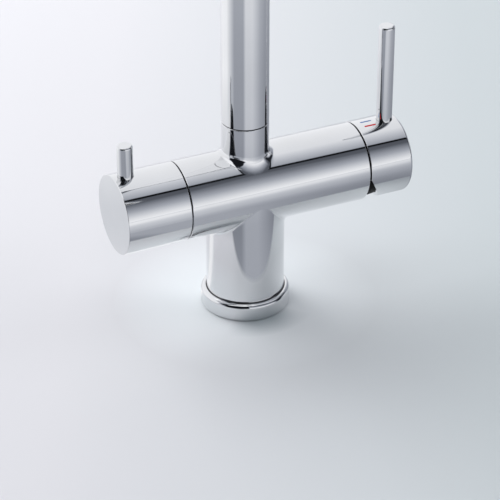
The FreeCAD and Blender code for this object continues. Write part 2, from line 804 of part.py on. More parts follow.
def make_spout():
    """The swivel spout, its foot bush and the inner tube of the second water way."""
    bent_tube("spout_tube", "spout_radius", "spout_bore", "spout_start", "outlet_end")
    bent_tube("filter_water_tube", "inner_tube_radius", "inner_tube_radius - inner_tube_wall",
              "inner_start", "inner_end")
    make_spout_foot()
    sleeve(new_body("spout_glide_ring"), "Ring", "foot_radius + slip_gap",
           "spout_radius - glide_ring_inset", "stub_top + seat_gap", "spout_start - seat_gap")
    ring_places = ("socket_floor + foot_ring_low", "socket_floor + foot_ring_high")
    ring_set("spout_o_rings", [
        torus(f"SpoutRing{index}", "foot_ring_radius", "foot_ring_section", "up", ("0", "0", place))
        for index, place in enumerate(ring_places)
    ])
    o_ring("inner_tube_o_ring", "inner_ring_radius", "inner_ring_section", "up",
           ("0", "0", "socket_floor - inner_ring_depth / 2"))


def make_spout_foot():
    """The turned bush in the stub: two seal grooves, and a part groove that limits the swivel."""
    body = new_body("spout_foot")
    corners = [
        ("foot_bore_radius", "socket_floor + foot_float"),
        ("foot_radius", "socket_floor + foot_float"),
    ]
    for place in ("foot_ring_low", "foot_ring_high"):
        low = f"socket_floor + {place} - foot_groove_half"
        high = f"socket_floor + {place} + foot_groove_half"
        corners += [
            ("foot_radius", low),
            ("foot_groove_radius", low),
            ("foot_groove_radius", high),
            ("foot_radius", high),
        ]
    corners += [
        ("foot_radius", "spout_start"),
        ("bush_radius", "spout_start"),
        ("bush_radius", "spout_start + foot_insert_length"),
        ("foot_bore_radius", "spout_start + foot_insert_length"),
    ]
    turned(body, "Bush", corners)
    half = "(stop_dog_radius + slip_gap)"
    outline = polygon(body, "StopOutline", "YZ_Plane", [
        ("foot_radius - stop_groove_depth", f"stop_height - {half}"),
        ("foot_radius + cut_margin", f"stop_height - {half}"),
        ("foot_radius + cut_margin", f"stop_height + {half}"),
        ("foot_radius - stop_groove_depth", f"stop_height + {half}"),
    ])
    groove = body.newObject("PartDesign::Groove", "StopGroove")
    groove.Profile = outline
    groove.ReferenceAxis = (outline, ["V_Axis"])
    groove.Midplane = True
    bind(groove, "Angle", "2 * (swivel_half_angle + stop_margin_angle)")


def make_stop_screw():
    body = new_body("spout_stop_screw", ("0", "0", "stop_height"))
    outer = "spout_radius - stop_screw_inset"
    inner = "foot_radius + swing_gap"
    cylinder(body, "Shank", ADD, "stop_screw_radius", f"{outer} - ({inner})", "back", ("0", inner, "0"))
    dog_end = "foot_radius - stop_groove_depth + slip_gap"
    cylinder(body, "Dog", ADD, "stop_dog_radius", f"{outer} - ({dog_end})", "back", ("0", dog_end, "0"))
    socket = "stop_screw_radius * screw_socket_share"
    hexagon(body, "Socket", CUT, socket, "stop_screw_radius / 2", "back",
            ("0", f"{outer} - stop_screw_radius / 2", "0"))


def make_outlet():
    """The threaded bush in the spout's end and the aerator that screws into it."""
    mouth = ("0", "-spout_reach", "0")
    turned(new_body("outlet_bush", mouth), "Bush", [
        ("bush_bore", "outlet_end"),
        ("bush_radius", "outlet_end"),
        ("bush_radius", "bush_top"),
        ("bush_mouth_radius", "bush_top"),
        ("bush_mouth_radius", "bush_top - bush_shoulder"),
        ("bush_bore", "bush_top - bush_shoulder"),
    ])
    body = new_body("aerator_housing", mouth)
    turned(body, "Housing", [
        ("aerator_bore - aerator_lip_width", "aerator_bottom"),
        ("aerator_radius", "aerator_bottom"),
        ("aerator_radius", "outlet_end - slip_gap"),
        ("bush_bore - slip_gap", "outlet_end - slip_gap"),
        ("bush_bore - slip_gap", "aerator_top"),
        ("aerator_bore", "aerator_top"),
        ("aerator_bore", "aerator_bottom + aerator_lip"),
        ("aerator_bore - aerator_lip_width", "aerator_bottom + aerator_lip"),
    ])
    for side, span in (("Right", ("aerator_flats / 2", "aerator_radius + cut_margin")),
                       ("Left", ("-aerator_radius - cut_margin", "-aerator_flats / 2"))):
        block(body, side + "Flat", CUT, (
            span,
            ("-aerator_radius", "aerator_radius"),
            ("aerator_bottom", "outlet_end - slip_gap - aerator_lip"),
        ))
    make_aerator_insert(mouth)
    sleeve(new_body("aerator_washer", mouth), "Washer", "bush_mouth_radius + slip_gap",
           "bush_bore - slip_gap", "aerator_top + seat_gap", "bush_top - bush_shoulder - seat_gap")


def make_aerator_insert(mouth):
    """The insert keeps both waters apart: a middle nozzle, and a ring of jets round it."""
    body = new_body("aerator_insert", mouth)
    height = "aerator_top - insert_bottom"
    cylinder(body, "Insert", ADD, "aerator_bore - slip_gap", height, "up", ("0", "0", "insert_bottom"))
    cylinder(body, "Nozzle", CUT, "nozzle_radius", height, "up", ("0", "0", "insert_bottom"))
    cylinder(body, "TubeSocket", CUT, "inner_tube_radius + slip_gap", "aerator_top - nozzle_end", "up",
             ("0", "0", "nozzle_end"))
    jet = cylinder(body, "Jet", CUT, "jet_radius", height, "up",
                   ("jet_circle_radius", "0", "insert_bottom"))
    doc.recompute()
    jets = body.newObject("PartDesign::PolarPattern", "Jets")
    jets.Originals = [jet]
    jets.Axis = (next(item for item in body.Origin.OriginFeatures if item.Role == "Z_Axis"), [""])
    jets.Angle = FULL_TURN_ANGLE
    bind(jets, "Occurrences", "jet_count")
    body.Tip = jets


def make_cartridge():
    """The fixed pieces of the mixer cartridge, from the port plate out to the dome ring."""
    plate = new_body("port_plate", BARREL)
    cylinder(plate, "Plate", ADD, "housing_radius", "port_plate_thickness", "right",
             ("port_plate_start", "0", "0"))
    seal_depth = "2 * port_seal_section"
    for name, (y, z) in PORTS.items():
        cylinder(plate, name + "Port", CUT, "waterway_radius", "port_plate_thickness", "right",
                 ("port_plate_start", y, z))
        cylinder(plate, name + "SealSeat", CUT, "port_seal_radius + port_seal_section + slip_gap",
                 seal_depth, "right", ("port_plate_start", y, z))
    ring_set("port_seals", [
        torus(name + "Seal", "port_seal_radius", "port_seal_section", "right",
              ("port_plate_start + port_seal_section", y, f"barrel_axis_height + ({z})"))
        for name, (y, z) in PORTS.items()
    ])
    disc = new_body("fixed_disc", BARREL)
    cylinder(disc, "Disc", ADD, "housing_bore - slip_gap", "fixed_disc_thickness", "right",
             ("port_plate_end", "0", "0"))
    for name, (y, z) in PORTS.items():
        cylinder(disc, name + "Port", CUT, "waterway_radius", "fixed_disc_thickness", "right",
                 ("port_plate_end", y, z))
    turned(new_body("cartridge_housing", BARREL), "Housing", [
        ("housing_bore", "port_plate_end"),
        ("housing_radius", "port_plate_end"),
        ("housing_radius", "housing_front"),
        ("housing_neck_radius", "housing_front"),
        ("housing_neck_radius", "housing_end"),
        ("turret_bore", "housing_end"),
        ("turret_bore", "housing_shoulder"),
        ("housing_bore", "housing_shoulder"),
    ], "X")
    make_clamp_ring()
    dome = new_body("dome_ring", BARREL)
    pivot = ("lever_pivot", "0", "0")
    ball(dome, "Dome", ADD, "dome_radius", pivot)
    ball(dome, "Hollow", CUT, "dome_radius - dome_wall", pivot)
    cylinder(dome, "Back", CUT, "dome_radius + cut_margin", "2 * dome_radius", "left",
             ("dome_start", "0", "0"))
    cylinder(dome, "Mouth", CUT, "dome_radius + cut_margin", "2 * dome_radius", "right",
             ("dome_start + dome_length", "0", "0"))


def make_clamp_ring():
    """The threaded ring that holds the cartridge, with four slots for its key."""
    body = new_body("clamp_ring", BARREL)
    sleeve(body, "Ring", "clamp_ring_bore", "clamp_ring_radius", "clamp_ring_start", "clamp_ring_end", "X")
    half = "clamp_ring_slot_width / 2"
    depth = ("clamp_ring_end - clamp_ring_slot_depth", "clamp_ring_end")
    across = (f"-{half}", half)
    along = ("-clamp_ring_radius", "clamp_ring_radius")
    block(body, "LevelSlot", CUT, (depth, along, across))
    block(body, "UprightSlot", CUT, (depth, across, along))


def make_turret():
    """The turret turns with the lever, carries its pivot pin and guides the moving disc."""
    body = new_body("mixing_turret", BARREL)
    cylinder(body, "Flange", ADD, "turret_flange_radius", "turret_shoulder - turret_start", "right",
             ("turret_start", "0", "0"))
    cylinder(body, "Neck", ADD, "turret_radius", "turret_end - turret_start", "right",
             ("turret_start", "0", "0"))
    window = "(moving_disc_radius + swing_gap)"
    reach = "turret_flange_radius + cut_margin"
    block(body, "CarrierWindow", CUT, (
        ("turret_start", "turret_shoulder"), (f"-{window}", window), (f"-({reach})", reach)))
    collar = "(collar_radius + swing_gap)"
    block(body, "CollarSlot", CUT, (
        ("turret_shoulder", "collar_end + swing_gap"), (f"-{collar}", collar), (f"-{collar}", reach)))
    stem = "(stem_width / 2 + swing_gap)"
    block(body, "StemSlot", CUT, (
        ("turret_shoulder", "turret_end"), (f"-{stem}", stem), ("turret_web - turret_radius", reach)))
    cylinder(body, "PinHole", CUT, "pivot_pin_radius + seat_gap", "2 * turret_radius", "back",
             ("lever_pivot", "-turret_radius", "0"))
    pin = new_body("stem_pin", BARREL)
    cylinder(pin, "Pin", ADD, "pivot_pin_radius", "2 * pin_reach", "back",
             ("lever_pivot", "-pin_reach", "0"))


def make_moving_disc():
    """The ceramic disc that meters the water, and the carrier that the stem's ball pushes."""
    disc = new_body("moving_disc", BARREL)
    cylinder(disc, "Disc", ADD, "moving_disc_radius", "moving_disc_thickness", "right",
             ("moving_disc_start", "0", "0"))
    cylinder(disc, "Basin", CUT, "moving_disc_radius / 2", "moving_disc_thickness / 2", "right",
             ("moving_disc_start", "0", "0"))
    carrier = new_body("disc_carrier", BARREL)
    cylinder(carrier, "Plate", ADD, "moving_disc_radius", "carrier_thickness", "right",
             ("moving_disc_end", "0", "0"))
    cylinder(carrier, "Collar", ADD, "collar_radius", "collar_end - moving_disc_end", "right",
             ("moving_disc_end", "0", "0"))
    cylinder(carrier, "BallSocket", CUT, "stem_ball_radius + swing_gap",
             "collar_end - ball_place + stem_ball_radius + swing_gap", "right",
             ("ball_place - stem_ball_radius - swing_gap", "0", "0"))


def make_stem():
    """The square stem from the ball in the carrier to the socket in the mixer cap."""
    body = new_body("stem", BARREL)
    half = "stem_width / 2"
    block(body, "Square", ADD, (("stem_start", "stem_end"), (f"-{half}", half), (f"-{half}", half)))
    cylinder(body, "Tail", ADD, "stem_tail_radius", "stem_start - ball_place", "right",
             ("ball_place", "0", "0"))
    ball(body, "Ball", ADD, "stem_ball_radius", ("ball_place", "0", "0"))
    cylinder(body, "PinHole", CUT, "pivot_pin_radius + seat_gap", "stem_width", "back",
             ("lever_pivot", f"-{half}", "0"))


def make_mixer_cap():
    """The cap that tips about the stem pin: hollow round the dome ring, notched below to clear the body."""
    body = new_body("lever_cap", BARREL)
    cylinder(body, "Cap", ADD, "barrel_radius", "cap_length", "right", ("cap_start", "0", "0"))
    dressed(body, "EndRound", "Fillet", "cap_round", rim("barrel_radius", "cap_end", "x"))
    dressed(body, "RimBreak", "Fillet", "edge_break", rim("barrel_radius", "cap_start", "x"))
    cylinder(body, "Hollow", CUT, "cap_bore", "lever_pivot - cap_start", "right", ("cap_start", "0", "0"))
    ball(body, "DomeRoom", CUT, "cap_bore", ("lever_pivot", "0", "0"))
    cylinder(body, "Hub", ADD, "hub_radius", "cap_end - cap_round - hub_start", "right",
             ("hub_start", "0", "0"))
    half = "stem_socket / 2"
    block(body, "StemSocket", CUT,
          (("hub_start", "hub_socket_end"), (f"-{half}", half), (f"-{half}", half)))
    cut_notch(body)
    cylinder(body, "LeverSeat", CUT, "lever_radius + slip_gap", "lever_seat_depth + cut_margin", "up",
             ("lever_x", "0", "lever_seat"))
    cylinder(body, "LeverThread", CUT, "lever_tail_radius + seat_gap",
             "lever_tail_length + seat_gap + cut_margin", "up",
             ("lever_x", "0", "lever_tail_end - seat_gap"))
    cylinder(body, "ScrewHole", CUT, "cap_screw_radius + seat_gap", "barrel_radius", "down",
             ("lever_x", "0", "0"))
    screw = new_body("cap_set_screw", ("lever_x", "0", "barrel_axis_height"))
    cylinder(screw, "Shank", ADD, "cap_screw_radius", "cap_screw_length", "down",
             ("0", "0", "-cap_screw_seat"))
    hexagon(screw, "Socket", CUT, "cap_screw_radius * screw_socket_share", "cap_screw_radius", "up",
            ("0", "0", "-cap_screw_seat - cap_screw_length"))


def cut_notch(body):
    """A sloped cut across the cap's lower rim."""
    bottom = "(barrel_radius + cut_margin)"
    outline = polygon(body, "NotchOutline", "XZ_Plane", [
        ("cap_start - cut_margin", "cut_margin / notch_slope - notch_start_drop"),
        ("cap_start - cut_margin", f"-{bottom}"),
        (f"cap_start + notch_slope * ({bottom} - notch_start_drop)", f"-{bottom}"),
    ])
    notch = body.newObject("PartDesign::Pocket", "Notch")
    notch.Profile = outline
    notch.SideType = "Symmetric"
    bind(notch, "Length", f"2 * {bottom}")


def make_rod(label, base, turn, radius, tail_radius, tail_end, seat, length, top_round):
    """An upright rod with a threaded tail and a rounded top."""
    body = new_body(label, base, turn)
    turned(body, "Rod", [
        ("0", tail_end),
        (tail_radius, tail_end),
        (tail_radius, f"{seat} + seat_gap"),
        (radius, f"{seat} + seat_gap"),
        (radius, length),
        ("0", length),
    ])
    dressed(body, "TopRound", "Fillet", top_round, rim(radius, length, "z"))


def make_lever():
    make_mixer_cap()
    make_rod("lever_rod", ("lever_x", "0", "barrel_axis_height"), Rotation(), "lever_radius",
             "lever_tail_radius", "lever_tail_end", "lever_seat", "lever_length", "lever_round")


def make_valve():
    """The fixed pieces of the quarter-turn valve in the left end of the barrel."""
    body = new_body("valve_body", BARREL, FACING_LEFT)
    turned(body, "Sleeve", [
        ("valve_bore", "valve_start"),
        ("valve_radius", "valve_start"),
        ("valve_radius", "valve_flange_end"),
        ("valve_neck_radius", "valve_flange_end"),
        ("valve_neck_radius", "valve_end"),
        ("spindle_bore", "valve_end"),
        ("spindle_bore", "valve_shoulder"),
        ("valve_bore", "valve_shoulder"),
    ], "X")
    hexagon(body, "Hexagon", ADD, "valve_corner_radius", "valve_hexagon_height", "right",
            ("valve_flange_start", "0", "0"))
    cylinder(body, "SpindleBore", CUT, "spindle_bore", "valve_hexagon_height", "right",
             ("valve_flange_start", "0", "0"))
    cylinder(body, "Windows", CUT, "valve_port_radius", "2 * valve_thread_radius", "up",
             ("valve_moving_end", "0", "-valve_thread_radius"))
    sleeve(new_body("valve_washer", BARREL, FACING_LEFT), "Washer", "valve_radius + slip_gap",
           "valve_corner_radius", "valve_seat", "valve_flange_start", "X")
    sleeve(new_body("valve_seat_seal", BARREL, FACING_LEFT), "Seal", "seat_seal_bore",
           "valve_disc_radius", "valve_floor + seat_gap", "seat_seal_end", "X")
    valve_disc("valve_fixed_disc", "valve_fixed_start")


def valve_disc(label, start):
    """A ceramic disc with two ports. Both discs of the valve are alike."""
    body = new_body(label, BARREL, FACING_LEFT)
    cylinder(body, "Disc", ADD, "valve_disc_radius", "valve_disc_thickness", "right", (start, "0", "0"))
    for name, z in (("Upper", "valve_port_offset"), ("Lower", "-valve_port_offset")):
        cylinder(body, name + "Port", CUT, "valve_port_radius", "valve_disc_thickness", "right",
                 (start, "0", z))


def make_spindle():
    """The spindle turns the second disc and carries the left cap."""
    body = new_body("valve_spindle", BARREL, FACING_LEFT)
    corners = [
        ("0", "valve_moving_end"),
        ("valve_disc_radius", "valve_moving_end"),
        ("valve_disc_radius", "spindle_flange_end"),
        ("spindle_radius", "spindle_flange_end"),
    ]
    for place in ("ring_one_place", "ring_two_place"):
        corners += [
            ("spindle_radius", f"{place} - spindle_groove_half"),
            ("spindle_groove_radius", f"{place} - spindle_groove_half"),
            ("spindle_groove_radius", f"{place} + spindle_groove_half"),
            ("spindle_radius", f"{place} + spindle_groove_half"),
        ]
    corners += [
        ("spindle_radius", "clip_start - seat_gap"),
        ("clip_groove_radius", "clip_start - seat_gap"),
        ("clip_groove_radius", "clip_end + seat_gap"),
        ("spindle_radius", "clip_end + seat_gap"),
        ("spindle_radius", "spindle_end"),
        ("0", "spindle_end"),
    ]
    turned(body, "Spindle", corners, "X")
    valve_disc("valve_moving_disc", "valve_moving_start")
    ring_set("spindle_o_rings", [
        torus(name, "spindle_ring_radius", "spindle_ring_section", "left",
              (f"-{place}", "0", "barrel_axis_height"))
        for name, place in (("SpindleRingOne", "ring_one_place"), ("SpindleRingTwo", "ring_two_place"))
    ])
    sleeve(new_body("spindle_clip", BARREL, FACING_LEFT), "Clip", "clip_groove_radius + seat_gap",
           "clip_groove_radius + clip_width", "clip_start", "clip_end", "X")


def make_knob():
    """The left cap, fixed to the spindle by a set screw, and the pin that turns it."""
    body = new_body("filter_cap", BARREL, FACING_LEFT)
    turned(body, "Cap", [
        ("knob_bore", "knob_start"),
        ("barrel_radius", "knob_start"),
        ("barrel_radius", "knob_end"),
        ("0", "knob_end"),
        ("0", "knob_socket_end"),
        ("spindle_radius + seat_gap", "knob_socket_end"),
        ("spindle_radius + seat_gap", "knob_floor"),
        ("knob_bore", "knob_floor"),
    ], "X")
    dressed(body, "EndBreak", "Fillet", "edge_break", rim("barrel_radius", "knob_end", "x"))
    dressed(body, "RimBreak", "Fillet", "edge_break", rim("barrel_radius", "knob_start", "x"))
    cylinder(body, "PinSeat", CUT, "pin_radius + slip_gap", "pin_seat_depth + cut_margin", "up",
             ("pin_x", "0", "pin_seat"))
    cylinder(body, "PinThread", CUT, "pin_tail_radius + seat_gap",
             "pin_tail_length + seat_gap + cut_margin", "up", ("pin_x", "0", "pin_tail_end - seat_gap"))
    cylinder(body, "ScrewHole", CUT, "knob_screw_radius + seat_gap", "barrel_radius", "down",
             ("knob_screw_x", "0", "0"))
    screw = new_body("knob_set_screw", ("-knob_screw_x", "0", "barrel_axis_height"))
    cylinder(screw, "Shank", ADD, "knob_screw_radius", "knob_screw_length", "down",
             ("0", "0", "-knob_screw_seat"))
    hexagon(screw, "Socket", CUT, "knob_screw_radius * screw_socket_share", "knob_screw_radius", "up",
            ("0", "0", "-knob_screw_seat - knob_screw_length"))
    make_rod("filter_pin", ("-pin_x", "0", "barrel_axis_height"), Rotation(), "pin_radius",
             "pin_tail_radius", "pin_tail_end", "pin_seat", "pin_length", "pin_round")


def check_document():
    """Stop with the names of whatever failed to build."""
    doc.recompute()
    faults = []
    for item in doc.Objects:
        if "Invalid" in item.State or "Error" in item.State:
            faults.append(f"{item.Name} is {item.State}")
    for node in nodes:
        if node.Shape.isNull() or not node.Shape.isValid() or not node.Shape.Solids:
            faults.append(f"{node.Label} has no valid solid")
    if faults:
        raise RuntimeError("; ".join(faults))


def write_nodes():
    os.makedirs(STEP_FOLDER, exist_ok=True)
    for node in nodes:
        node.Shape.exportStep(os.path.join(STEP_FOLDER, node.Label + ".step"))
    print(len(nodes), "nodes written")


make_body_casting()
make_base()
make_inlet_block()
make_stud()
make_clamp()
make_spout()
make_stop_screw()
make_outlet()
make_cartridge()
make_turret()
make_moving_disc()
make_stem()
make_lever()
make_valve()
make_spindle()
make_knob()
check_document()
write_nodes()
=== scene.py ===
# %% [markdown]
# # A chrome kitchen mixer tap
#
# This lesson dresses a tap whose shape was already made as exact solids. The solids arrive as a packed
# model: one object for each real piece, grouped into bodies that move together. We never move or edit
# those objects. We give each one a finish, add the small things that the solids leave out, and build a
# little studio round them.

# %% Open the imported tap
import json
import math

import bmesh
import bpy
from mathutils import Matrix, Vector

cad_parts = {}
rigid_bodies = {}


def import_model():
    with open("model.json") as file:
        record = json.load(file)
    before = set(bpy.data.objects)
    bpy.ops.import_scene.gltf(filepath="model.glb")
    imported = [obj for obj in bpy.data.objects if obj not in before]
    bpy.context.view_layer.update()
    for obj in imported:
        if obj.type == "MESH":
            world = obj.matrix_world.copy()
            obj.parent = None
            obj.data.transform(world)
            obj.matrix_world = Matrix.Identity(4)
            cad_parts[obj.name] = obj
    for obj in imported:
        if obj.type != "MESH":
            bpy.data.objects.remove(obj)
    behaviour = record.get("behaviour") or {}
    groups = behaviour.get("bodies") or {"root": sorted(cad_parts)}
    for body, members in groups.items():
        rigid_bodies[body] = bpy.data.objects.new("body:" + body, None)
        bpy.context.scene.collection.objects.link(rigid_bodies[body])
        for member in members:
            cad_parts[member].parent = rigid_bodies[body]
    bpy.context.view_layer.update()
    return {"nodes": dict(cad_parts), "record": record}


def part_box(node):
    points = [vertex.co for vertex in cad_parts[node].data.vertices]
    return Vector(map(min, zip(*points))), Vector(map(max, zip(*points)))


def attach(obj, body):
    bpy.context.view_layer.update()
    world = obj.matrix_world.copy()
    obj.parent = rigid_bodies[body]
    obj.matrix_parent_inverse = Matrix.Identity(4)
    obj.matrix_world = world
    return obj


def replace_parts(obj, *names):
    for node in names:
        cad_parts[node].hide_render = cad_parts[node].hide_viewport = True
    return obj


for leftover in list(bpy.data.objects):
    bpy.data.objects.remove(leftover)
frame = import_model()
nodes = frame["nodes"]

# %% [markdown]
# ## The camera
#
# A long lens looks down on the tap from its front left. The place, the tilt and the focal length were
# worked out from the tap's own circles and edges, so the render lines up with the photo. Blender wants the
# lens in millimetres on a 36 mm sensor, so we turn the focal length in pixels into that.

# %% Place the camera
MM = 0.001
PICTURE_SIDE = 500
SENSOR_MM = 36.0
FOCAL_PIXELS = 2271.04
VIEW_TURN = -24.893
VIEW_DROP = 31.055
CAMERA_PLACE_MM = (-486.0, -1054.2, 732.5)

lens = bpy.data.cameras.new("photo_camera")
lens.sensor_width = SENSOR_MM
lens.lens = FOCAL_PIXELS / PICTURE_SIDE * SENSOR_MM
camera = bpy.data.objects.new("photo_camera", lens)
camera.location = Vector(CAMERA_PLACE_MM) * MM
camera.rotation_euler = (math.radians(90 - VIEW_DROP), 0, math.radians(VIEW_TURN))
bpy.context.collection.objects.link(camera)
bpy.context.scene.camera = camera
print("lens", round(lens.lens, 1), "mm")

# %% [markdown]
# ## Writing node trees as sums
#
# A finish is a small network of nodes. Placing every Math node by hand hides the idea behind it, so we
# wrap a socket in a class that understands + - * and /. Then `1 - mask` reads as it is meant and adds its
# own Math node. Every other kind of node comes from the one method `node` of the bench. Both classes work
# for shaders and for Geometry Nodes alike.


# %% A socket that can be added and multiplied
class Wire:
    """An output socket that takes part in Python sums."""

    def __init__(self, bench, socket):
        self.bench = bench
        self.socket = socket

    def beside(self, name):
        """Another output of the same node."""
        return Wire(self.bench, self.socket.node.outputs[name])

    def sum(self, operation, first, second):
        return self.bench.node("ShaderNodeMath", {"operation": operation}, {0: first, 1: second})

    def __add__(self, other):
        return self.sum("ADD", self, other)

    def __radd__(self, other):
        return self.sum("ADD", other, self)

    def __sub__(self, other):
        return self.sum("SUBTRACT", self, other)

    def __rsub__(self, other):
        return self.sum("SUBTRACT", other, self)

    def __mul__(self, other):
        return self.sum("MULTIPLY", self, other)

    def __rmul__(self, other):
        return self.sum("MULTIPLY", other, self)

    def __truediv__(self, other):
        return self.sum("DIVIDE", self, other)

    def __rtruediv__(self, other):
        return self.sum("DIVIDE", other, self)


print("sockets can be added")


# %% A bench that adds any node
class Bench:
    """A node tree with one method that adds any node to it."""

    def __init__(self, tree):
        self.tree = tree

    def node(self, kind, settings=None, sockets=None, output=0):
        made = self.tree.nodes.new(kind)
        for key, value in (settings or {}).items():
            if key == "stops":
                set_stops(made.color_ramp, value)
            else:
                setattr(made, key, value)
        for key, value in (sockets or {}).items():
            for item in value if isinstance(value, list) else [value]:
                if isinstance(item, Wire):
                    self.tree.links.new(item.socket, made.inputs[key])
                else:
                    made.inputs[key].default_value = item
        return Wire(self, made.outputs[output]) if made.outputs else None


def set_stops(ramp, stops):
    """Put (place, brightness) stops on a colour ramp."""
    while len(ramp.elements) < len(stops):
        ramp.elements.new(1.0)
    for element, (place, level) in zip(ramp.elements, stops):
        element.position = place
        element.color = (level, level, level, 1.0)


def maths(bench, operation, *values):
    """A Math node for what has no sign in Python."""
    return bench.node("ShaderNodeMath", {"operation": operation}, dict(enumerate(values)))


def distance(bench, spot):
    """How far a place is from the origin."""
    return bench.node("ShaderNodeVectorMath", {"operation": "LENGTH"}, {0: spot}, "Value")


print("bench ready")

# %% [markdown]
# ## One way to start every finish
#
# Each finish starts from the Principled shader. What is the same all over the surface is set on the
# shader's own sockets. What varies over the surface is linked in afterwards, from noise on the object's
# own coordinates, so that the pattern stays on the piece when it moves.


# %% Helpers for finishes
def start_finish(name, constants):
    """A new material with a Principled shader, its constants set, and a bench to add nodes with."""
    material = bpy.data.materials.new(name)
    material.use_nodes = True
    shader = material.node_tree.nodes["Principled BSDF"]
    for socket, value in constants.items():
        shader.inputs[socket].default_value = value
    return material, Bench(material.node_tree), shader


def feed(bench, shader, socket, wire):
    bench.tree.links.new(wire.socket, shader.inputs[socket])


def noise(bench, scale, detail=2.0):
    """Noise with so many blobs to the metre, or so many along each axis."""
    spot = bench.node("ShaderNodeTexCoord", output="Object")
    if isinstance(scale, tuple):
        spot = bench.node("ShaderNodeMapping", None, {"Vector": spot, "Scale": scale})
        scale = 1.0
    return bench.node("ShaderNodeTexNoise", None, {"Vector": spot, "Scale": scale, "Detail": detail}, "Fac")


def spread(bench, wire, low, high, to_low=0.0, to_high=1.0):
    """Map low..high to to_low..to_high, clamped."""
    sockets = {"Value": wire, "From Min": low, "From Max": high, "To Min": to_low, "To Max": to_high}
    return bench.node("ShaderNodeMapRange", None, sockets)


def two_tone(bench, mask, first, second):
    """A colour between two, by a mask. Each colour is a wire or three numbers."""
    first, second = [tone if isinstance(tone, Wire) else (*tone, 1.0) for tone in (first, second)]
    sockets = {"Factor": mask, 6: first, 7: second}
    return bench.node("ShaderNodeMix", {"data_type": "RGBA"}, sockets, 2)


def bump(bench, height, strength, depth):
    sockets = {"Height": height, "Strength": strength, "Distance": depth}
    return bench.node("ShaderNodeBump", None, sockets, "Normal")


print("finish helpers ready")

# %% [markdown]
# ## Polished chrome
#
# Chrome plate is a mirror with a faint blue cast. A perfect mirror looks like a computer picture, so two
# things are added: a thin bloom of handling that makes some areas a touch less sharp, and the slight
# waviness that polishing leaves in a casting. Both stay far below what the eye reads as rough.


# %% Make the chrome finishes
CHROME_TINT = (0.772, 0.777, 0.788)
CHROME_BLOOM = (0.735, 0.740, 0.750)
BLOOM_SCALE = 22.0
BLOOM_DETAIL = 3.0
BLOOM_RANGE = (0.40, 0.72)
WAVE_SCALE = 60.0
WAVE_DETAIL = 1.0
WAVE_HEIGHT = 0.0004


def polished_chrome(name, sharp, hazy, wave):
    """Chrome with roughness from sharp to hazy, and waviness of so much strength."""
    material, bench, shader = start_finish(name, {"Metallic": 1.0})
    bloom = spread(bench, noise(bench, BLOOM_SCALE, BLOOM_DETAIL), *BLOOM_RANGE)
    feed(bench, shader, "Base Color", two_tone(bench, bloom, CHROME_TINT, CHROME_BLOOM))
    feed(bench, shader, "Roughness", sharp + bloom * (hazy - sharp))
    feed(bench, shader, "Normal", bump(bench, noise(bench, WAVE_SCALE, WAVE_DETAIL), wave, WAVE_HEIGHT))
    return material


cast_chrome = polished_chrome("polished_cast_chrome", sharp=0.035, hazy=0.075, wave=0.02)
turned_chrome = polished_chrome("polished_turned_chrome", sharp=0.03, hazy=0.06, wave=0.012)
tube_chrome = polished_chrome("polished_tube_chrome", sharp=0.035, hazy=0.065, wave=0.012)
print("three chrome finishes")

# %% [markdown]
# ## Bare metals inside the tap
#
# Brass and copper pieces are never seen from outside, but the tap can be opened in the library, so they
# get the marks of how they were made. A lathe leaves fine rings round the axis: noise squeezed hard along
# that axis gives them. A drawn tube has streaks along its length: the same noise, stretched instead.


# %% Brass, copper and steel
TARNISH_SCALE = 90.0
TARNISH_DETAIL = 4.0
TARNISH_RANGE = (0.42, 0.70)
TARNISH_ROUGHNESS = 0.14
TOOL_ROUGHNESS = 0.12
TOOL_STRENGTH = 0.25


def machined(name, bright, dull, scale, roughness, depth):
    """Bare metal with tool marks: noise of so many blobs to the metre along x, y and z."""
    material, bench, shader = start_finish(name, {"Metallic": 1.0})
    marks = noise(bench, scale)
    tarnish = spread(bench, noise(bench, TARNISH_SCALE, TARNISH_DETAIL), *TARNISH_RANGE)
    feed(bench, shader, "Base Color", two_tone(bench, tarnish, bright, dull))
    feed(bench, shader, "Roughness", roughness + marks * TOOL_ROUGHNESS + tarnish * TARNISH_ROUGHNESS)
    feed(bench, shader, "Normal", bump(bench, marks, TOOL_STRENGTH, depth))
    return material


LATHE_UPRIGHT = (60.0, 60.0, 3200.0)
LATHE_LEVEL = (3200.0, 60.0, 60.0)
DRAWN_UPRIGHT = (2600.0, 2600.0, 18.0)
BRUSHED = 1500.0
BRASS = ((0.80, 0.58, 0.27), (0.55, 0.36, 0.14))
COPPER = ((0.86, 0.46, 0.31), (0.50, 0.22, 0.13))
STEEL = ((0.60, 0.61, 0.62), (0.42, 0.42, 0.44))
upright_brass = machined("lathe_turned_brass_upright", *BRASS, LATHE_UPRIGHT, roughness=0.20, depth=0.00003)
level_brass = machined("lathe_turned_brass_level", *BRASS, LATHE_LEVEL, roughness=0.20, depth=0.00003)
drawn_copper = machined("drawn_copper", *COPPER, DRAWN_UPRIGHT, roughness=0.22, depth=0.00002)
screw_steel = machined("brushed_screw_steel", *STEEL, BRUSHED, roughness=0.24, depth=0.00002)
print("brass, copper and steel made")

# %% [markdown]
# ## Zinc plate
#
# The stud and the clamp plate are steel with a coat of zinc. Zinc plate shows pale crystals, some greyer and
# some yellower. A Voronoi pattern cuts the surface into such cells and gives each its own tone.

# %% Plate the clamp with zinc
ZINC_GREY = (0.60, 0.63, 0.67)
ZINC_YELLOW = (0.74, 0.73, 0.66)
ZINC_ROUGHNESS = 0.26
CRYSTAL_SCALE = 420.0
CRYSTAL_ROUGHNESS = 0.16
PIT_SCALE = 900.0
PIT_DETAIL = 3.0

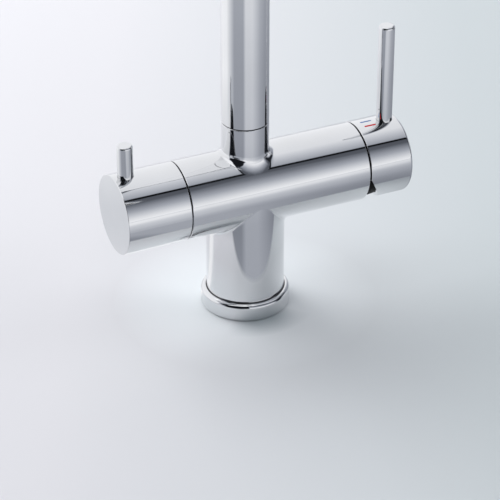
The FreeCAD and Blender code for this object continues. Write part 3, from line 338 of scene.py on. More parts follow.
zinc_steel, bench, shader = start_finish("zinc_plated_steel", {"Metallic": 1.0})
spot = bench.node("ShaderNodeTexCoord", output="Object")
crystals = bench.node("ShaderNodeTexVoronoi", None, {"Vector": spot, "Scale": CRYSTAL_SCALE}, "Color")
grain = bench.node("ShaderNodeSeparateColor", None, {0: crystals})
feed(bench, shader, "Base Color", two_tone(bench, grain, ZINC_GREY, ZINC_YELLOW))
feed(bench, shader, "Roughness", ZINC_ROUGHNESS + grain * CRYSTAL_ROUGHNESS)
feed(bench, shader, "Normal", bump(bench, noise(bench, PIT_SCALE, PIT_DETAIL), strength=0.15, depth=0.00005))
print("zinc plate made")

# %% [markdown]
# ## Rubber, plastic and ceramic
#
# Moulded pieces share one recipe. A fine grain comes from the mould, and a slow change of colour and gloss
# comes from handling and from the material itself. Rubber blooms to a chalky grey, ceramic is dense and
# smooth, and the plastics lie between them. Only the numbers differ, so one function serves them all.


# %% The recipe for moulded finishes
CLOUD_SCALE = 120.0
CLOUD_DETAIL = 4.0
CLOUD_RANGE = (0.35, 0.72)
FLECK_SHARE = 0.2
MOULD_DEPTH = 0.00008
COAT_ROUGHNESS = 0.2


def moulded(name, deep, pale, gloss, grain_scale, grain, coat=0.0, sheen=0.5):
    """A finish between two tones, with roughness from gloss[0] to gloss[1] and a fine moulded grain."""
    material, bench, shader = start_finish(name, {
        "Coat Weight": coat, "Coat Roughness": COAT_ROUGHNESS, "Specular IOR Level": sheen})
    cloud = spread(bench, noise(bench, CLOUD_SCALE, CLOUD_DETAIL), *CLOUD_RANGE)
    fleck = noise(bench, grain_scale)
    mottle = cloud * (1 - FLECK_SHARE) + fleck * FLECK_SHARE
    feed(bench, shader, "Base Color", two_tone(bench, mottle, deep, pale))
    feed(bench, shader, "Roughness", gloss[0] + cloud * (gloss[1] - gloss[0]))
    feed(bench, shader, "Normal", bump(bench, fleck, grain, MOULD_DEPTH))
    return material


print("moulding recipe ready")

# %% Rubber
black_rubber = moulded(
    "bloomed_black_rubber", deep=(0.016, 0.016, 0.017), pale=(0.046, 0.046, 0.049), gloss=(0.55, 0.80),
    grain_scale=2600.0, grain=0.35)
seal_rubber = moulded(
    "greased_seal_rubber", deep=(0.012, 0.012, 0.013), pale=(0.030, 0.030, 0.032), gloss=(0.28, 0.50),
    grain_scale=3000.0, grain=0.15)
print("two rubbers")

# %% Plastic and ceramic
black_plastic = moulded(
    "black_dome_plastic", deep=(0.002, 0.002, 0.0023), pale=(0.005, 0.005, 0.0055), gloss=(0.45, 0.62),
    grain_scale=2400.0, grain=0.25, sheen=0.08)
grey_plastic = moulded(
    "grey_cartridge_plastic", deep=(0.25, 0.26, 0.28), pale=(0.36, 0.37, 0.39), gloss=(0.34, 0.50),
    grain_scale=2200.0, grain=0.20)
white_plastic = moulded(
    "white_cartridge_plastic", deep=(0.74, 0.73, 0.69), pale=(0.83, 0.82, 0.79), gloss=(0.32, 0.46),
    grain_scale=2200.0, grain=0.18)
tube_plastic = moulded(
    "waxy_tube_plastic", deep=(0.66, 0.74, 0.80), pale=(0.78, 0.84, 0.88), gloss=(0.30, 0.44),
    grain_scale=1800.0, grain=0.12)
disc_ceramic = moulded(
    "lapped_disc_ceramic", deep=(0.80, 0.78, 0.72), pale=(0.88, 0.87, 0.83), gloss=(0.10, 0.20),
    grain_scale=3600.0, grain=0.05, coat=0.3)
print("four plastics and a ceramic")

# %% [markdown]
# ## Dressing the solids
#
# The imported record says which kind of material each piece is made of. We look that name up and give the
# finish to the object's slots. Brass is the one exception: pieces on the barrel's axis were turned about a
# level line, the others about an upright one, so their lathe rings run differently.

# %% Give every solid its finish
FINISHES = {
    "chrome_body": cast_chrome,
    "chrome_base": turned_chrome,
    "chrome_spout": tube_chrome,
    "chrome_handle": turned_chrome,
    "brass": upright_brass,
    "copper_tube": drawn_copper,
    "zinc_steel": zinc_steel,
    "screw_steel": screw_steel,
    "black_rubber": black_rubber,
    "seal_rubber": seal_rubber,
    "black_plastic": black_plastic,
    "grey_plastic": grey_plastic,
    "white_plastic": white_plastic,
    "inner_tube_plastic": tube_plastic,
    "disc_ceramic": disc_ceramic,
}
LEVEL_BRASS_NODES = ("clamp_ring", "valve_body", "valve_spindle")

for row in frame["record"]["subparts"]:
    finish = level_brass if row["node"] in LEVEL_BRASS_NODES else FINISHES[row["material_slot"]]
    for holder in nodes[row["node"]].material_slots:
        holder.material = finish

# %% [markdown]
# ## Pieces of our own
#
# The next steps build meshes from points and faces. Two jobs come back each time: turning the finished
# build into a mesh, and putting that mesh in the scene under its name. A third closes a loop of rings with
# faces, which serves everything that is turned about an axis.


# %% Helpers for new pieces
def keep_mesh(build, name):
    """Turn a build into a mesh and let the build go."""
    mesh = bpy.data.meshes.new(name)
    build.to_mesh(mesh)
    build.free()
    return mesh


def link_piece(name, mesh, finish):
    """Put a mesh in the scene under its own name, with one finish."""
    mesh.name = name
    mesh.materials.clear()
    mesh.materials.append(finish)
    piece = bpy.data.objects.new(name, mesh)
    bpy.context.collection.objects.link(piece)
    return piece


def skin_rings(build, rings):
    """Close a loop of closed rings of points with faces that look outwards."""
    for one, two in zip(rings, rings[1:] + rings[:1]):
        for index in range(len(one)):
            after = (index + 1) % len(one)
            build.faces.new((one[index], two[index], two[after], one[after]))
    bmesh.ops.recalc_face_normals(build, faces=build.faces)


def middle_of(low, high):
    """The middle of a box, seen from above."""
    return (low.x + high.x) / 2, (low.y + high.y) / 2


print("piece helpers ready")

# %% [markdown]
# ## The temperature marks
#
# Two short enamel dashes on the mixer cap say which way is cold and which is warm. They are too thin to be
# worth a solid. Each is a strip with round ends, bent onto the cap: we lay out points along the dash, let
# its width follow a half circle at both ends, and turn the distance across into an angle round the barrel.
# A second layer of points just inside the metal closes the strip.

# %% Lay out a dash on the cap
BARREL_HEIGHT = 78.1 * MM
BARREL_RADIUS = 23.7 * MM
MARK_PROUD = 0.02 * MM
MARK_ROOT = 0.05 * MM
MARK_HALF_WIDTH = 0.62 * MM
MARK_STEPS = 40
MARK_RIBS = 6
SMALLEST_SQUARE = 1e-12


def mark_layer(start, end, middle, radius, build):
    """Rows of points for one layer of a dash, each row across the dash and never quite closed."""
    rows = []
    for step in range(MARK_STEPS + 1):
        along = start + (end - start) * (0.5 - 0.5 * math.cos(math.pi * step / MARK_STEPS))
        to_end = min(along - start, end - along, MARK_HALF_WIDTH)
        half = math.sqrt(max(MARK_HALF_WIDTH ** 2 - (MARK_HALF_WIDTH - to_end) ** 2, SMALLEST_SQUARE))
        row = []
        for rib in range(MARK_RIBS + 1):
            turn = (middle + half * (2 * rib / MARK_RIBS - 1)) / BARREL_RADIUS
            height = BARREL_HEIGHT + radius * math.cos(turn)
            row.append(build.verts.new((along, radius * math.sin(turn), height)))
        rows.append(row)
    return rows


def rim_of(rows):
    """The points round the edge of one layer, in order."""
    return [row[0] for row in rows] + rows[-1][1:] + [row[-1] for row in rows[-2::-1]] + rows[0][-2:0:-1]


print("a dash has", MARK_STEPS * MARK_RIBS, "faces to a layer")


# %% Paint the temperature marks
def enamel_mark(name, start, end, middle, finish):
    """One dash, from start to end along the barrel and with its middle off the top, in millimetres."""
    build = bmesh.new()
    upper = mark_layer(start * MM, end * MM, middle * MM, BARREL_RADIUS + MARK_PROUD, build)
    lower = mark_layer(start * MM, end * MM, middle * MM, BARREL_RADIUS - MARK_ROOT, build)
    for rows in (upper, lower):
        for one, two in zip(rows, rows[1:]):
            for rib in range(MARK_RIBS):
                build.faces.new((one[rib], two[rib], two[rib + 1], one[rib + 1]))
    upper_rim, lower_rim = rim_of(upper), rim_of(lower)
    for index in range(len(upper_rim)):
        after = (index + 1) % len(upper_rim)
        build.faces.new((upper_rim[index], upper_rim[after], lower_rim[after], lower_rim[index]))
    bmesh.ops.recalc_face_normals(build, faces=build.faces)
    piece = link_piece(name, keep_mesh(build, name), finish)
    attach(piece, "mixer_lever")


blue_enamel = moulded(
    "cold_blue_enamel", deep=(0.03, 0.12, 0.36), pale=(0.05, 0.16, 0.42), gloss=(0.25, 0.38),
    grain_scale=2600.0, grain=0.08, sheen=0.2)
red_enamel = moulded(
    "warm_red_enamel", deep=(0.52, 0.006, 0.012), pale=(0.62, 0.012, 0.020), gloss=(0.25, 0.38),
    grain_scale=2600.0, grain=0.08, sheen=0.2)
enamel_mark("cold_mark", start=75.8, end=83.1, middle=1.25, finish=blue_enamel)
enamel_mark("warm_mark", start=76.2, end=83.7, middle=-3.8, finish=red_enamel)
print("two temperature marks")

# %% [markdown]
# ## Trees that grow geometry
#
# Screw threads and the outlet's honeycomb repeat one small shape along a path or over a face. Geometry
# Nodes are made for that. A tree gets named inputs for its sizes, so the same thread serves a thick stud
# and a small socket. The helper `grow` runs a tree on an empty mesh and keeps the result as a plain mesh.


# %% Helpers for Geometry Nodes
def new_tree(name, sizes):
    """A tree with named inputs, a material input and one geometry output."""
    tree = bpy.data.node_groups.new(name, "GeometryNodeTree")
    for label, kind in sizes.items():
        tree.interface.new_socket(label, in_out="INPUT", socket_type="NodeSocket" + kind)
    tree.interface.new_socket("Finish", in_out="INPUT", socket_type="NodeSocketMaterial")
    tree.interface.new_socket("Geometry", in_out="OUTPUT", socket_type="NodeSocketGeometry")
    return Bench(tree)


def close_tree(bench, pieces):
    """Join what was made, turn instances into mesh and give it the finish."""
    finish = bench.node("NodeGroupInput", output="Finish")
    joined = bench.node("GeometryNodeJoinGeometry", None, {0: pieces})
    plain = bench.node("GeometryNodeRealizeInstances", None, {0: joined})
    dressed = bench.node("GeometryNodeSetMaterial", None, {"Geometry": plain, "Material": finish})
    bench.node("NodeGroupOutput", None, {"Geometry": dressed})
    return bench.tree


def grow(tree, values, place):
    """Run a tree and return its result as a plain mesh, moved to its place."""
    carrier = bpy.data.objects.new("carrier", bpy.data.meshes.new("carrier"))
    bpy.context.collection.objects.link(carrier)
    modifier = carrier.modifiers.new("tree", "NODES")
    modifier.node_group = tree
    for item in tree.interface.items_tree:
        if item.in_out == "INPUT":
            modifier[item.identifier] = values[item.name]
    evaluated = carrier.evaluated_get(bpy.context.evaluated_depsgraph_get())
    mesh = bpy.data.meshes.new_from_object(evaluated)
    bpy.data.objects.remove(carrier)
    mesh.transform(Matrix.Translation(place))
    return mesh


print("tree helpers ready")

# %% [markdown]
# ## Screw threads
#
# A thread is a ridge that climbs round a core. The tree draws a spiral with as many turns as the pitch
# asks for, sweeps a small diamond along it, and adds a core where one is wanted. On the stud the ridge
# stands out to the stud's full size. In the hose sockets the core has no size, so its faces are deleted
# afterwards, and the ridge lines the hole.

# %% Build the thread tree
SPIRAL_STEPS = 24
DIAMOND_CORNERS = 4

thread = new_tree("screw_thread", {
    "Radius": "Float", "Pitch": "Float", "Length": "Float", "Ridge": "Float", "Core": "Float",
    "Core Sides": "Int"})
given = thread.node("NodeGroupInput", output="Radius")
length = given.beside("Length")
spiral = thread.node("GeometryNodeCurveSpiral", None, {
    "Resolution": SPIRAL_STEPS, "Rotations": length / given.beside("Pitch"), "Start Radius": given,
    "End Radius": given, "Height": length})
diamond = thread.node("GeometryNodeCurvePrimitiveCircle", None, {
    "Resolution": DIAMOND_CORNERS, "Radius": given.beside("Ridge")})
ridge = thread.node("GeometryNodeCurveToMesh", None, {
    "Curve": spiral, "Profile Curve": diamond, "Fill Caps": True})
core = thread.node("GeometryNodeMeshCylinder", None, {
    "Vertices": given.beside("Core Sides"), "Radius": given.beside("Core"), "Depth": length})
lift = thread.node("ShaderNodeCombineXYZ", None, {"Z": length * 0.5})
raised_core = thread.node("GeometryNodeTransform", None, {"Geometry": core, "Translation": lift})
thread_tree = close_tree(thread, [ridge, raised_core])
print("thread tree with", len(thread_tree.nodes), "nodes")

# %% Cut the stud's thread
STUD_PITCH = 1.25 * MM
STUD_RIDGE = 0.42 * MM
STUD_SIDES = 48

low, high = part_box("mounting_stud")
core_radius = (high.x - low.x) / 2 - STUD_RIDGE
stud_foot = Vector((*middle_of(low, high), low.z))
stud_mesh = grow(thread_tree, {
    "Radius": core_radius, "Pitch": STUD_PITCH, "Length": high.z - low.z - 2 * STUD_RIDGE,
    "Ridge": STUD_RIDGE, "Core": core_radius, "Core Sides": STUD_SIDES, "Finish": zinc_steel,
}, stud_foot + Vector((0, 0, STUD_RIDGE)))
stud = link_piece("threaded_stud", stud_mesh, zinc_steel)
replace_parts(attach(stud, "tap_body"), "mounting_stud")
print("stud thread", len(stud_mesh.polygons), "faces")

# %% Line the hose sockets
SOCKET_RADIUS = 4.5 * MM
SOCKET_DEPTH = 12.0 * MM
SOCKET_PITCH = 1.0 * MM
SOCKET_RIDGE = 0.3 * MM
SOCKET_PLACES_MM = ((9.4, -1.6), (0.0, -9.5), (-9.4, -1.6))
FEWEST_SIDES = 3
SLIVER_AREA = 1e-14

socket_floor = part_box("inlet_block")[0].z
lining = bmesh.new()
for x, y in SOCKET_PLACES_MM:
    lining.from_mesh(grow(thread_tree, {
        "Radius": SOCKET_RADIUS, "Pitch": SOCKET_PITCH, "Length": SOCKET_DEPTH - 2 * SOCKET_PITCH,
        "Ridge": SOCKET_RIDGE, "Core": 0.0, "Core Sides": FEWEST_SIDES, "Finish": upright_brass,
    }, Vector((x * MM, y * MM, socket_floor + SOCKET_PITCH))))
slivers = [face for face in lining.faces if face.calc_area() < SLIVER_AREA]
bmesh.ops.delete(lining, geom=slivers, context="FACES")
lining_mesh = keep_mesh(lining, "hose_socket_threads")
socket_threads = link_piece("hose_socket_threads", lining_mesh, upright_brass)
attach(socket_threads, "tap_body")
print("socket threads", len(lining_mesh.polygons), "faces")

# %% [markdown]
# ## The outlet's honeycomb
#
# Under the aerator's insert sits a honeycomb that calms the water. It is one hexagon repeated over a disc.
# The tree makes a grid of points, shifts every other row by half a cell, drops the points outside the disc
# and those under the middle nozzle, and puts a hexagonal wall on each point that is left.

# %% Plant the honeycomb's points
GRID_STEPS = 20
ROW_RATIO = math.sqrt(0.75)
OUTER_MARGIN = 0.55
INNER_MARGIN = 0.4

comb = new_tree("honeycomb", {
    "Outer": "Float", "Inner": "Float", "Cell": "Float", "Wall": "Float", "Height": "Float"})
given = comb.node("NodeGroupInput", output="Outer")
nozzle = given.beside("Inner")
cell = given.beside("Cell")
row_step = cell * ROW_RATIO
grid = comb.node("GeometryNodeMeshGrid", None, {
    "Size X": cell * GRID_STEPS, "Size Y": row_step * GRID_STEPS, "Vertices X": GRID_STEPS + 1,
    "Vertices Y": GRID_STEPS + 1})
grid_y = comb.node("ShaderNodeSeparateXYZ", None, {0: comb.node("GeometryNodeInputPosition")}, "Y")
odd_row = maths(comb, "PINGPONG", maths(comb, "ROUND", grid_y / row_step), 1.0)
shift = comb.node("ShaderNodeCombineXYZ", None, {"X": odd_row * cell * 0.5})
shifted = comb.node("GeometryNodeSetPosition", None, {"Geometry": grid, "Offset": shift})
from_axis = distance(comb, comb.node("GeometryNodeInputPosition"))
too_far = maths(comb, "GREATER_THAN", from_axis, given - cell * OUTER_MARGIN)
too_near = maths(comb, "LESS_THAN", from_axis, nozzle + cell * INNER_MARGIN)
kept = comb.node("GeometryNodeDeleteGeometry", {"domain": "POINT"}, {
    "Geometry": shifted, "Selection": too_far + too_near})
print("points planted with", len(comb.tree.nodes), "nodes")

# %% Put a wall on each point
HEXAGON_CORNERS = 6
HEXAGON_TURN = math.radians(30.0)
RIM_STEPS = 72

hexagon = comb.node("GeometryNodeCurvePrimitiveCircle", None, {
    "Resolution": HEXAGON_CORNERS, "Radius": cell / math.sqrt(3.0)})
upright = comb.node("GeometryNodeTransform", None, {
    "Geometry": hexagon, "Rotation": (0.0, 0.0, HEXAGON_TURN)})
section = comb.node("GeometryNodeCurvePrimitiveQuadrilateral", None, {
    "Width": given.beside("Wall"), "Height": given.beside("Height")})
walls = comb.node("GeometryNodeCurveToMesh", None, {"Curve": upright, "Profile Curve": section})
cells = comb.node("GeometryNodeInstanceOnPoints", None, {"Points": kept, "Instance": walls})
rims = []
for size in (given, nozzle):
    circle = comb.node("GeometryNodeCurvePrimitiveCircle", None, {"Resolution": RIM_STEPS, "Radius": size})
    rims.append(comb.node("GeometryNodeCurveToMesh", None, {"Curve": circle, "Profile Curve": section}))
comb_tree = close_tree(comb, [cells, *rims])
print("honeycomb tree with", len(comb_tree.nodes), "nodes")

# %% Set the honeycomb in the outlet
COMB_RADIUS = 9.2 * MM
NOZZLE_RADIUS = 2.9 * MM
COMB_CELL = 1.5 * MM
COMB_WALL = 0.22 * MM
COMB_HEIGHT = 1.1 * MM
COMB_GAP = 0.05 * MM

low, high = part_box("aerator_insert")
comb_mesh = grow(comb_tree, {
    "Outer": COMB_RADIUS, "Inner": NOZZLE_RADIUS, "Cell": COMB_CELL, "Wall": COMB_WALL, "Height": COMB_HEIGHT,
    "Finish": white_plastic,
}, Vector((*middle_of(low, high), low.z - COMB_HEIGHT / 2 - COMB_GAP)))
honeycomb = link_piece("outlet_honeycomb", comb_mesh, white_plastic)
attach(honeycomb, "spout")
print("honeycomb", len(comb_mesh.polygons), "faces")

# %% [markdown]
# ## The clamp nut
#
# A real hexagon nut has its corners turned off to a cone, so that it doesn't bite into the plate. The
# solid nut is a plain prism. We walk round the axis, find how far the hexagon reaches in each direction,
# and let the face fall away where the reach passes the turned circle. That gives the curved corner cuts.

# %% Turn the corners of the clamp nut
NUT_STEPS = 96
NUT_BORE = 4.1 * MM
NUT_BORE_BREAK = 0.5 * MM
CORNER_SLOPE = math.tan(math.radians(30.0))
FACE_SHARE = 0.97
HALF_SIDE = math.pi / 6

low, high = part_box("clamp_nut")
nut_middle = Vector((*middle_of(low, high), 0))
corner_on_x = high.x - low.x > high.y - low.y
flat_reach = min(high.x - low.x, high.y - low.y) / 2
face_reach = flat_reach * FACE_SHARE
build = bmesh.new()
rings = []
for step in range(NUT_STEPS):
    turn = 2 * math.pi * step / NUT_STEPS
    from_flat = (turn + (0 if corner_on_x else HALF_SIDE)) % (2 * HALF_SIDE) - HALF_SIDE
    side_reach = flat_reach / math.cos(from_flat)
    fall = (side_reach - face_reach) * CORNER_SLOPE
    outline = [
        (NUT_BORE, low.z + NUT_BORE_BREAK), (NUT_BORE + NUT_BORE_BREAK, low.z), (face_reach, low.z),
        (side_reach, low.z + fall), (side_reach, high.z - fall), (face_reach, high.z),
        (NUT_BORE + NUT_BORE_BREAK, high.z), (NUT_BORE, high.z - NUT_BORE_BREAK)]
    rings.append([build.verts.new(nut_middle + Vector((r * math.cos(turn), r * math.sin(turn), z)))
                  for r, z in outline])
skin_rings(build, rings)
nut_mesh = keep_mesh(build, "turned_clamp_nut")
nut = link_piece("turned_clamp_nut", nut_mesh, upright_brass)
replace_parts(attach(nut, "deck_clamp"), "clamp_nut")
print("clamp nut", len(nut_mesh.polygons), "faces")

# %% [markdown]
# ## The joint at the pillar's foot
#
# Where the pillar stands on the base ring, a thin black bead lies in the joint as painted shade: it draws
# the dark line of shade all round. The bead is a small round section turned about the pillar's axis, mostly
# sunk in the joint.

# %% Run the black bead of painted shade
PILLAR_RADIUS = 23.3 * MM
JOINT_HEIGHT = 10.6 * MM
BEAD_RADIUS = 0.45 * MM
BEAD_SINK = 0.12 * MM
BEAD_STEPS = 160
BEAD_SIDES = 12

build = bmesh.new()
rings = []
for step in range(BEAD_STEPS):
    turn = 2 * math.pi * step / BEAD_STEPS
    ring = []
    for corner in range(BEAD_SIDES):
        lean = 2 * math.pi * corner / BEAD_SIDES
        out = PILLAR_RADIUS + BEAD_SINK + BEAD_RADIUS * math.cos(lean)
        height = JOINT_HEIGHT - BEAD_SINK + BEAD_RADIUS * math.sin(lean)
        ring.append(build.verts.new((out * math.cos(turn), out * math.sin(turn), height)))
    rings.append(ring)
skin_rings(build, rings)
bead_mesh = keep_mesh(build, "foot_shade_bead")
# The bead's black stands in for the shade in the joint.
bead = link_piece("foot_shade_bead", bead_mesh, seal_rubber)
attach(bead, "tap_body")
print("bead", len(bead_mesh.polygons), "faces")

# %% [markdown]
# ## The floor
#
# The tap stands on a pale surface whose colour carries painted light. It is whiter and more lavender on the
# left, greener on the right: partly its own tint, partly painted light that falls off from the left, where
# the light comes from. Round the tap's foot, strongest on its left, lies a painted glow for the light the
# chrome throws back, and close in front of the foot a soft painted shade. The surface has a hole under the
# base, so that nothing pushes through it. A range of four numbers is read as: from, to, the value at from and
# the value at to.

# %% Cut the floor
FLOOR_REACH = 4.0
HOLE_RADIUS = 0.0175
FLOOR_DROP = 0.00005
FLOOR_STEPS = 96

build = bmesh.new()
inner, outer = [], []
for step in range(FLOOR_STEPS):
    turn = 2 * math.pi * step / FLOOR_STEPS
    for size, edge in ((HOLE_RADIUS, inner), (FLOOR_REACH, outer)):
        edge.append(build.verts.new((size * math.cos(turn), size * math.sin(turn), -FLOOR_DROP)))
for step in range(FLOOR_STEPS):
    after = (step + 1) % FLOOR_STEPS
    build.faces.new((inner[step], outer[step], outer[after], inner[after]))
floor_mesh = keep_mesh(build, "pale_floor")
print("floor with a hole of", 2 * HOLE_RADIUS / MM, "mm")

# %% Paint and lay the floor
# The floor's own tint, lavender on the left and greener on the right; their step in brightness is painted
# light falling off from the left.
FLOOR_RIGHT = (0.578, 0.621, 0.637)
FLOOR_LEFT = (0.732, 0.729, 0.756)
# Painted light: the glow round the tap's foot, for light thrown back by the chrome.
FLOOR_PAINTED_GLOW = (0.915, 0.96, 0.985)
# Painted shade: the soft shade close in front of the foot.
FLOOR_PAINTED_SHADE = (0.04, 0.11, 0.14)
VIEW_COS = 0.907
VIEW_SIN = 0.421
FALL_LEAN = 0.5
FALL_RANGE = (-0.17, 0.12)
GLOW_BY_REACH = (0.03, 0.08, 1.0, 0.0)
GLOW_BY_SIDE = (0.25, 1.0, 0.5, 1.0)
SHADE_BY_REACH = (0.028, 0.044, 0.50, 0.0)
SHADE_BY_SIDE = (0.75, 0.98)

floor_paint, bench, shader = start_finish("pale_floor_paint", {"Roughness": 0.6, "Specular IOR Level": 0.2})
spot = bench.node("ShaderNodeTexCoord", output="Object")
across = bench.node("ShaderNodeSeparateXYZ", None, {0: spot}, "X")
along = across.beside("Y")
reach = distance(bench, spot)
# Painted light falling off from the left, mixed with the floor's own change of tint.
fall = spread(bench, along * FALL_LEAN - across, *FALL_RANGE)
leftward = (along * VIEW_SIN - across * VIEW_COS) / reach
frontward = (0.0 - along) / reach
# Where the painted glow lies: round the foot, strongest on its left.
painted_glow = spread(bench, reach, *GLOW_BY_REACH) * spread(bench, leftward, *GLOW_BY_SIDE)
# Where the painted shade lies: close in front of the foot.
painted_shade = spread(bench, reach, *SHADE_BY_REACH) * spread(bench, frontward, *SHADE_BY_SIDE)
tone = two_tone(bench, fall, FLOOR_RIGHT, FLOOR_LEFT)
tone = two_tone(bench, painted_glow, tone, FLOOR_PAINTED_GLOW)
feed(bench, shader, "Base Color", two_tone(bench, painted_shade, tone, FLOOR_PAINTED_SHADE))
floor = link_piece("pale_floor", floor_mesh, floor_paint)
print("floor laid")

# %% [markdown]
# ## A studio written in angles
#
# Chrome has no colour of its own: it shows what is round it. So the studio is drawn for the chrome: a card
# on the floor and a dome above it. Both are written in bearings, in degrees: 0 is straight to the front,
# 90 is to the right and -90 to the left. Distances are in metres. A `window` is a mask that rises over one
# stretch and falls over another. The dark greys of this studio are bluer than the pale ones.


# %% Helpers for the studio
DEGREE = 180 / math.pi
FULL_TURN = 360.0
DARK_TINT = (0.86, 0.955, 1.18)
PALE_TINT = (0.985, 0.995, 1.02)
TINT_POWER = 0.7


def studio_colour(bench, level):
    """A grey of the studio: the darker it is, the bluer."""
    tint = two_tone(bench, maths(bench, "POWER", level, TINT_POWER), DARK_TINT, PALE_TINT)
    return bench.node("ShaderNodeVectorMath", {"operation": "SCALE"}, {0: tint, "Scale": level}, "Vector")


def bearing_of(bench, right, back):
    return maths(bench, "ARCTAN2", right, 0.0 - back) * DEGREE


def window(bench, wire, rising, falling):
    """A mask that is 1 between two soft edges."""
    return spread(bench, wire, *rising) * spread(bench, wire, *falling)


def lay_over(below, above, mask):
    """One level of light over another, by a mask."""
    return below + (above - below) * mask


print("studio helpers ready")

# %% [markdown]
# ## A card that only the chrome sees
#
# A grey card lies round the tap, seen by mirror rays alone, so that the barrel and the pillar get the darker
# band that gives them their roundness. Its brightness is one ramp over the distance times another over the
# bearing: a light wedge runs straight to the front, both sides are darker, and the left glows white, with a
# brighter patch near the tap at the back left.

# %% Shade the card
CARD_BY_REACH = ((0.0, 0.45), (0.13, 0.47), (0.22, 0.66), (0.40, 0.80), (0.62, 1.0), (1.0, 1.09))
CARD_BY_BEARING = ((-33, 0.57), (-21, 1.0), (10, 1.0), (50, 0.63), (80, 0.5), (130, 0.48))
EVEN_BY_REACH = (0.15, 0.08, 0.0, 0.35)
PATCH_BEARINGS = ((-112.0, -125.0), (-150.0, -136.0))
PATCH_BY_REACH = (0.15, 0.11)
PATCH_GLOW = 0.26
LEFT_BY_REACH = (0.19, 0.32, 0.79, 1.10)
LEFT_BY_BEARING = (-75.0, -118.0)

card_paint = bpy.data.materials.new("front_card_paint")
card_paint.use_nodes = True
card_paint.node_tree.nodes.clear()
bench = Bench(card_paint.node_tree)
spot = bench.node("ShaderNodeTexCoord", output="Object")
across = bench.node("ShaderNodeSeparateXYZ", None, {0: spot}, "X")
along = across.beside("Y")
reach = distance(bench, spot)
bearing = bearing_of(bench, across, along)
by_reach = bench.node("ShaderNodeValToRGB", {"stops": CARD_BY_REACH}, {0: reach})
turn_stops = [(turn / FULL_TURN + 0.5, level) for turn, level in CARD_BY_BEARING]
by_bearing = bench.node("ShaderNodeValToRGB", {"stops": turn_stops}, {0: bearing / FULL_TURN + 0.5})
front_glow = by_reach * lay_over(by_bearing, 1.0, spread(bench, reach, *EVEN_BY_REACH))
patch = window(bench, bearing, *PATCH_BEARINGS) * spread(bench, reach, *PATCH_BY_REACH)
left_glow = spread(bench, reach, *LEFT_BY_REACH) + patch * PATCH_GLOW
glow = lay_over(front_glow, left_glow, spread(bench, bearing, *LEFT_BY_BEARING))
print("card shaded with", len(bench.tree.nodes), "nodes")

# %% [markdown]
# Two dark places far out are the feet of the flags that stand in the dome. The card has an outline too. It
# covers everything in front of a straight edge, and a fan round both sides. It leaves out the back and
# what lies close to the tap, where the pale floor shows through.

# %% Lay the reflected card
FOOT_DARKNESS = 0.97
LEFT_FOOT = (((-95.0, -85.0), (-40.0, -52.0)), (0.50, 0.62))
RIGHT_FOOT = (((55.0, 63.0), (112.0, 98.0)), (0.55, 0.75))
CARD_EDGE = -0.065
CARD_SOFTNESS = 0.004
FAN_BY_REACH = (0.11, 0.17)
FAN_RIGHT_END = (150.0, 125.0)
FAN_LEFT_END = (-176.0, -150.0)
CARD_LIFT = 0.0002
CARD_REACH = 4.0

for bearings, distances in (LEFT_FOOT, RIGHT_FOOT):
    foot = window(bench, bearing, *bearings) * spread(bench, reach, *distances)
    glow = glow * (1.0 - FOOT_DARKNESS * foot)
in_front = spread(bench, along, CARD_EDGE + CARD_SOFTNESS, CARD_EDGE - CARD_SOFTNESS)
fan = spread(bench, reach, *FAN_BY_REACH) * spread(bench, bearing, *FAN_RIGHT_END)
fan = maths(bench, "MAXIMUM", fan, patch) * spread(bench, bearing, *FAN_LEFT_END)
cover = maths(bench, "MAXIMUM", in_front, fan)
lamp = bench.node("ShaderNodeEmission", None, {"Color": studio_colour(bench, glow)})
clear = bench.node("ShaderNodeBsdfTransparent")
mixed = bench.node("ShaderNodeMixShader", None, {0: cover, 1: clear, 2: lamp})
bench.node("ShaderNodeOutputMaterial", None, {"Surface": mixed})

card_mesh = bpy.data.meshes.new("front_card")
corners = ((-1, -1), (1, -1), (1, 1), (-1, 1))
card_mesh.from_pydata([(x * CARD_REACH, y * CARD_REACH, CARD_LIFT) for x, y in corners], [], [(0, 1, 2, 3)])
card = link_piece("front_card", card_mesh, card_paint)
card.visible_camera = False
card.visible_diffuse = False
card.visible_shadow = False
card.visible_transmission = False
print("card laid, edge", CARD_EDGE / MM, "mm")

# %% [markdown]
# ## The studio's sky
#
# The studio is a dome of soft light. From the front horizon up it darkens to a thin black strip, the gap
# between two light tents, then turns white behind. The strip draws the dark line along the barrel, so this
# part is a ramp over the angle round the barrel's axis, from 0 at the front horizon to 1 at the back one.

# %% Hang the tents
TENTS_BY_TILT = (
    (0.0, 1.09), (0.05, 0.92), (0.15, 0.50), (0.272, 0.125), (0.318, 0.112), (0.324, 0.010), (0.348, 0.010),
    (0.354, 0.44), (0.55, 0.93), (1.0, 1.10))

world = bpy.data.worlds.new("studio_dome")
world.use_nodes = True
bpy.context.scene.world = world
world.node_tree.nodes.clear()
bench = Bench(world.node_tree)
ray = bench.node("ShaderNodeTexCoord", output="Generated")
ray_x = bench.node("ShaderNodeSeparateXYZ", None, {0: ray}, "X")
ray_y = ray_x.beside("Y")
ray_z = ray_x.beside("Z")
tilt = maths(bench, "ARCTAN2", ray_z, 0.0 - ray_y) / math.pi
level = bench.node("ShaderNodeValToRGB", {"stops": TENTS_BY_TILT}, {0: tilt})
print("tents with", len(TENTS_BY_TILT), "stops")

# %% [markdown]
# Two black flags stand on the floor, a wide tall one on the left and a lower one on the right. They make the
# black wedges on the stub, the spout and the base ring. Above the left flag hangs a bright tent, and a dim
# one stands behind the right flag. The barrel's ends look out along its axis, where the studio is an even
# pale grey, and so is all that lies below the horizon.

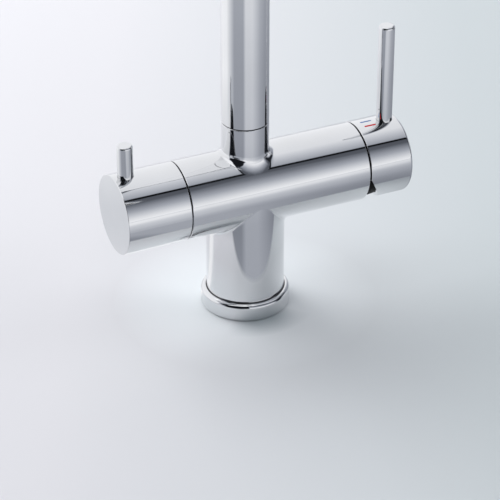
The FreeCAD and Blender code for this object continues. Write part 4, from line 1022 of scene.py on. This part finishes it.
# %% Stand up the flags
FLAG_TOPS = (-75.0, -55.0, 48.0, 61.0)
LEFT_FLAG = ((-13.0, -16.0), (-98.0, -89.0))
LEFT_FLAG_EDGE = (2.0, -2.0)
LEFT_FLAG_LEVEL = 0.012
RIGHT_FLAG = ((50.0, 62.0), (112.0, 96.0))
RIGHT_FLAG_LEVEL = 0.02
RIGHT_TENT = ((90.0, 100.0), (140.0, 124.0))
RIGHT_TENT_LEVEL = 0.4
RIGHT_TOP = (46.0, 34.0)
LEFT_TENT_END = (45.0, 15.0)
LEFT_TENT_EDGE = (1.0, 5.0)
LEFT_TENT_LEVEL = 1.15
SIDE_RANGE = (0.93, 0.995)
SIDE_LEVEL = 0.85
UNDER_LEVEL = 0.8

bearing = bearing_of(bench, ray_x, ray_y)
rise = maths(bench, "ARCSINE", ray_z) * DEGREE
above_flag = rise - spread(bench, bearing, *FLAG_TOPS)
below_top = spread(bench, rise, *RIGHT_TOP)
left_tent = spread(bench, bearing, *LEFT_TENT_END) * spread(bench, above_flag, *LEFT_TENT_EDGE)
right_tent = window(bench, bearing, *RIGHT_TENT) * below_top
left_flag = window(bench, bearing, *LEFT_FLAG) * spread(bench, above_flag, *LEFT_FLAG_EDGE)
right_flag = window(bench, bearing, *RIGHT_FLAG) * below_top
beside_tap = spread(bench, maths(bench, "ABSOLUTE", ray_x), *SIDE_RANGE)
under = maths(bench, "LESS_THAN", ray_z, 0.0)
for light, mask in (
        (LEFT_TENT_LEVEL, left_tent), (RIGHT_TENT_LEVEL, right_tent), (LEFT_FLAG_LEVEL, left_flag),
        (RIGHT_FLAG_LEVEL, right_flag), (SIDE_LEVEL, beside_tap), (UNDER_LEVEL, under)):
    level = lay_over(level, light, mask)
sky = bench.node("ShaderNodeBackground", None, {"Color": studio_colour(bench, level)})
bench.node("ShaderNodeOutputWorld", None, {"Surface": sky})
print("dome lit with", len(bench.tree.nodes), "nodes")

# %% [markdown]
# ## Two softboxes
#
# A round softbox stands low behind the tap on the left and throws the soft shadow to the front right. A
# weaker one at the front right keeps that shadow pale. Mirror rays don't see them, so they light the floor
# and leave the chrome to the dome and the card.


# %% Stand up the softboxes
def softbox(name, place, size, watts):
    """A round lamp that looks at the tap's foot and is left out of reflections."""
    data = bpy.data.lights.new(name, "AREA")
    data.shape = "DISK"
    data.size = size
    data.energy = watts
    lamp = bpy.data.objects.new(name, data)
    lamp.location = place
    lamp.rotation_euler = (-Vector(place)).to_track_quat("-Z", "Y").to_euler()
    lamp.visible_glossy = False
    bpy.context.collection.objects.link(lamp)


softbox("key_softbox", place=(-0.6, 1.25, 0.75), size=1.3, watts=17.5)
softbox("fill_softbox", place=(1.2, -0.5, 0.6), size=1.5, watts=9.0)
print("two softboxes")

# %% [markdown]
# ## Measure and hand over
# Last we set the view transform to Standard.

# %% Set the view transform
bpy.context.scene.view_settings.view_transform = "Standard"
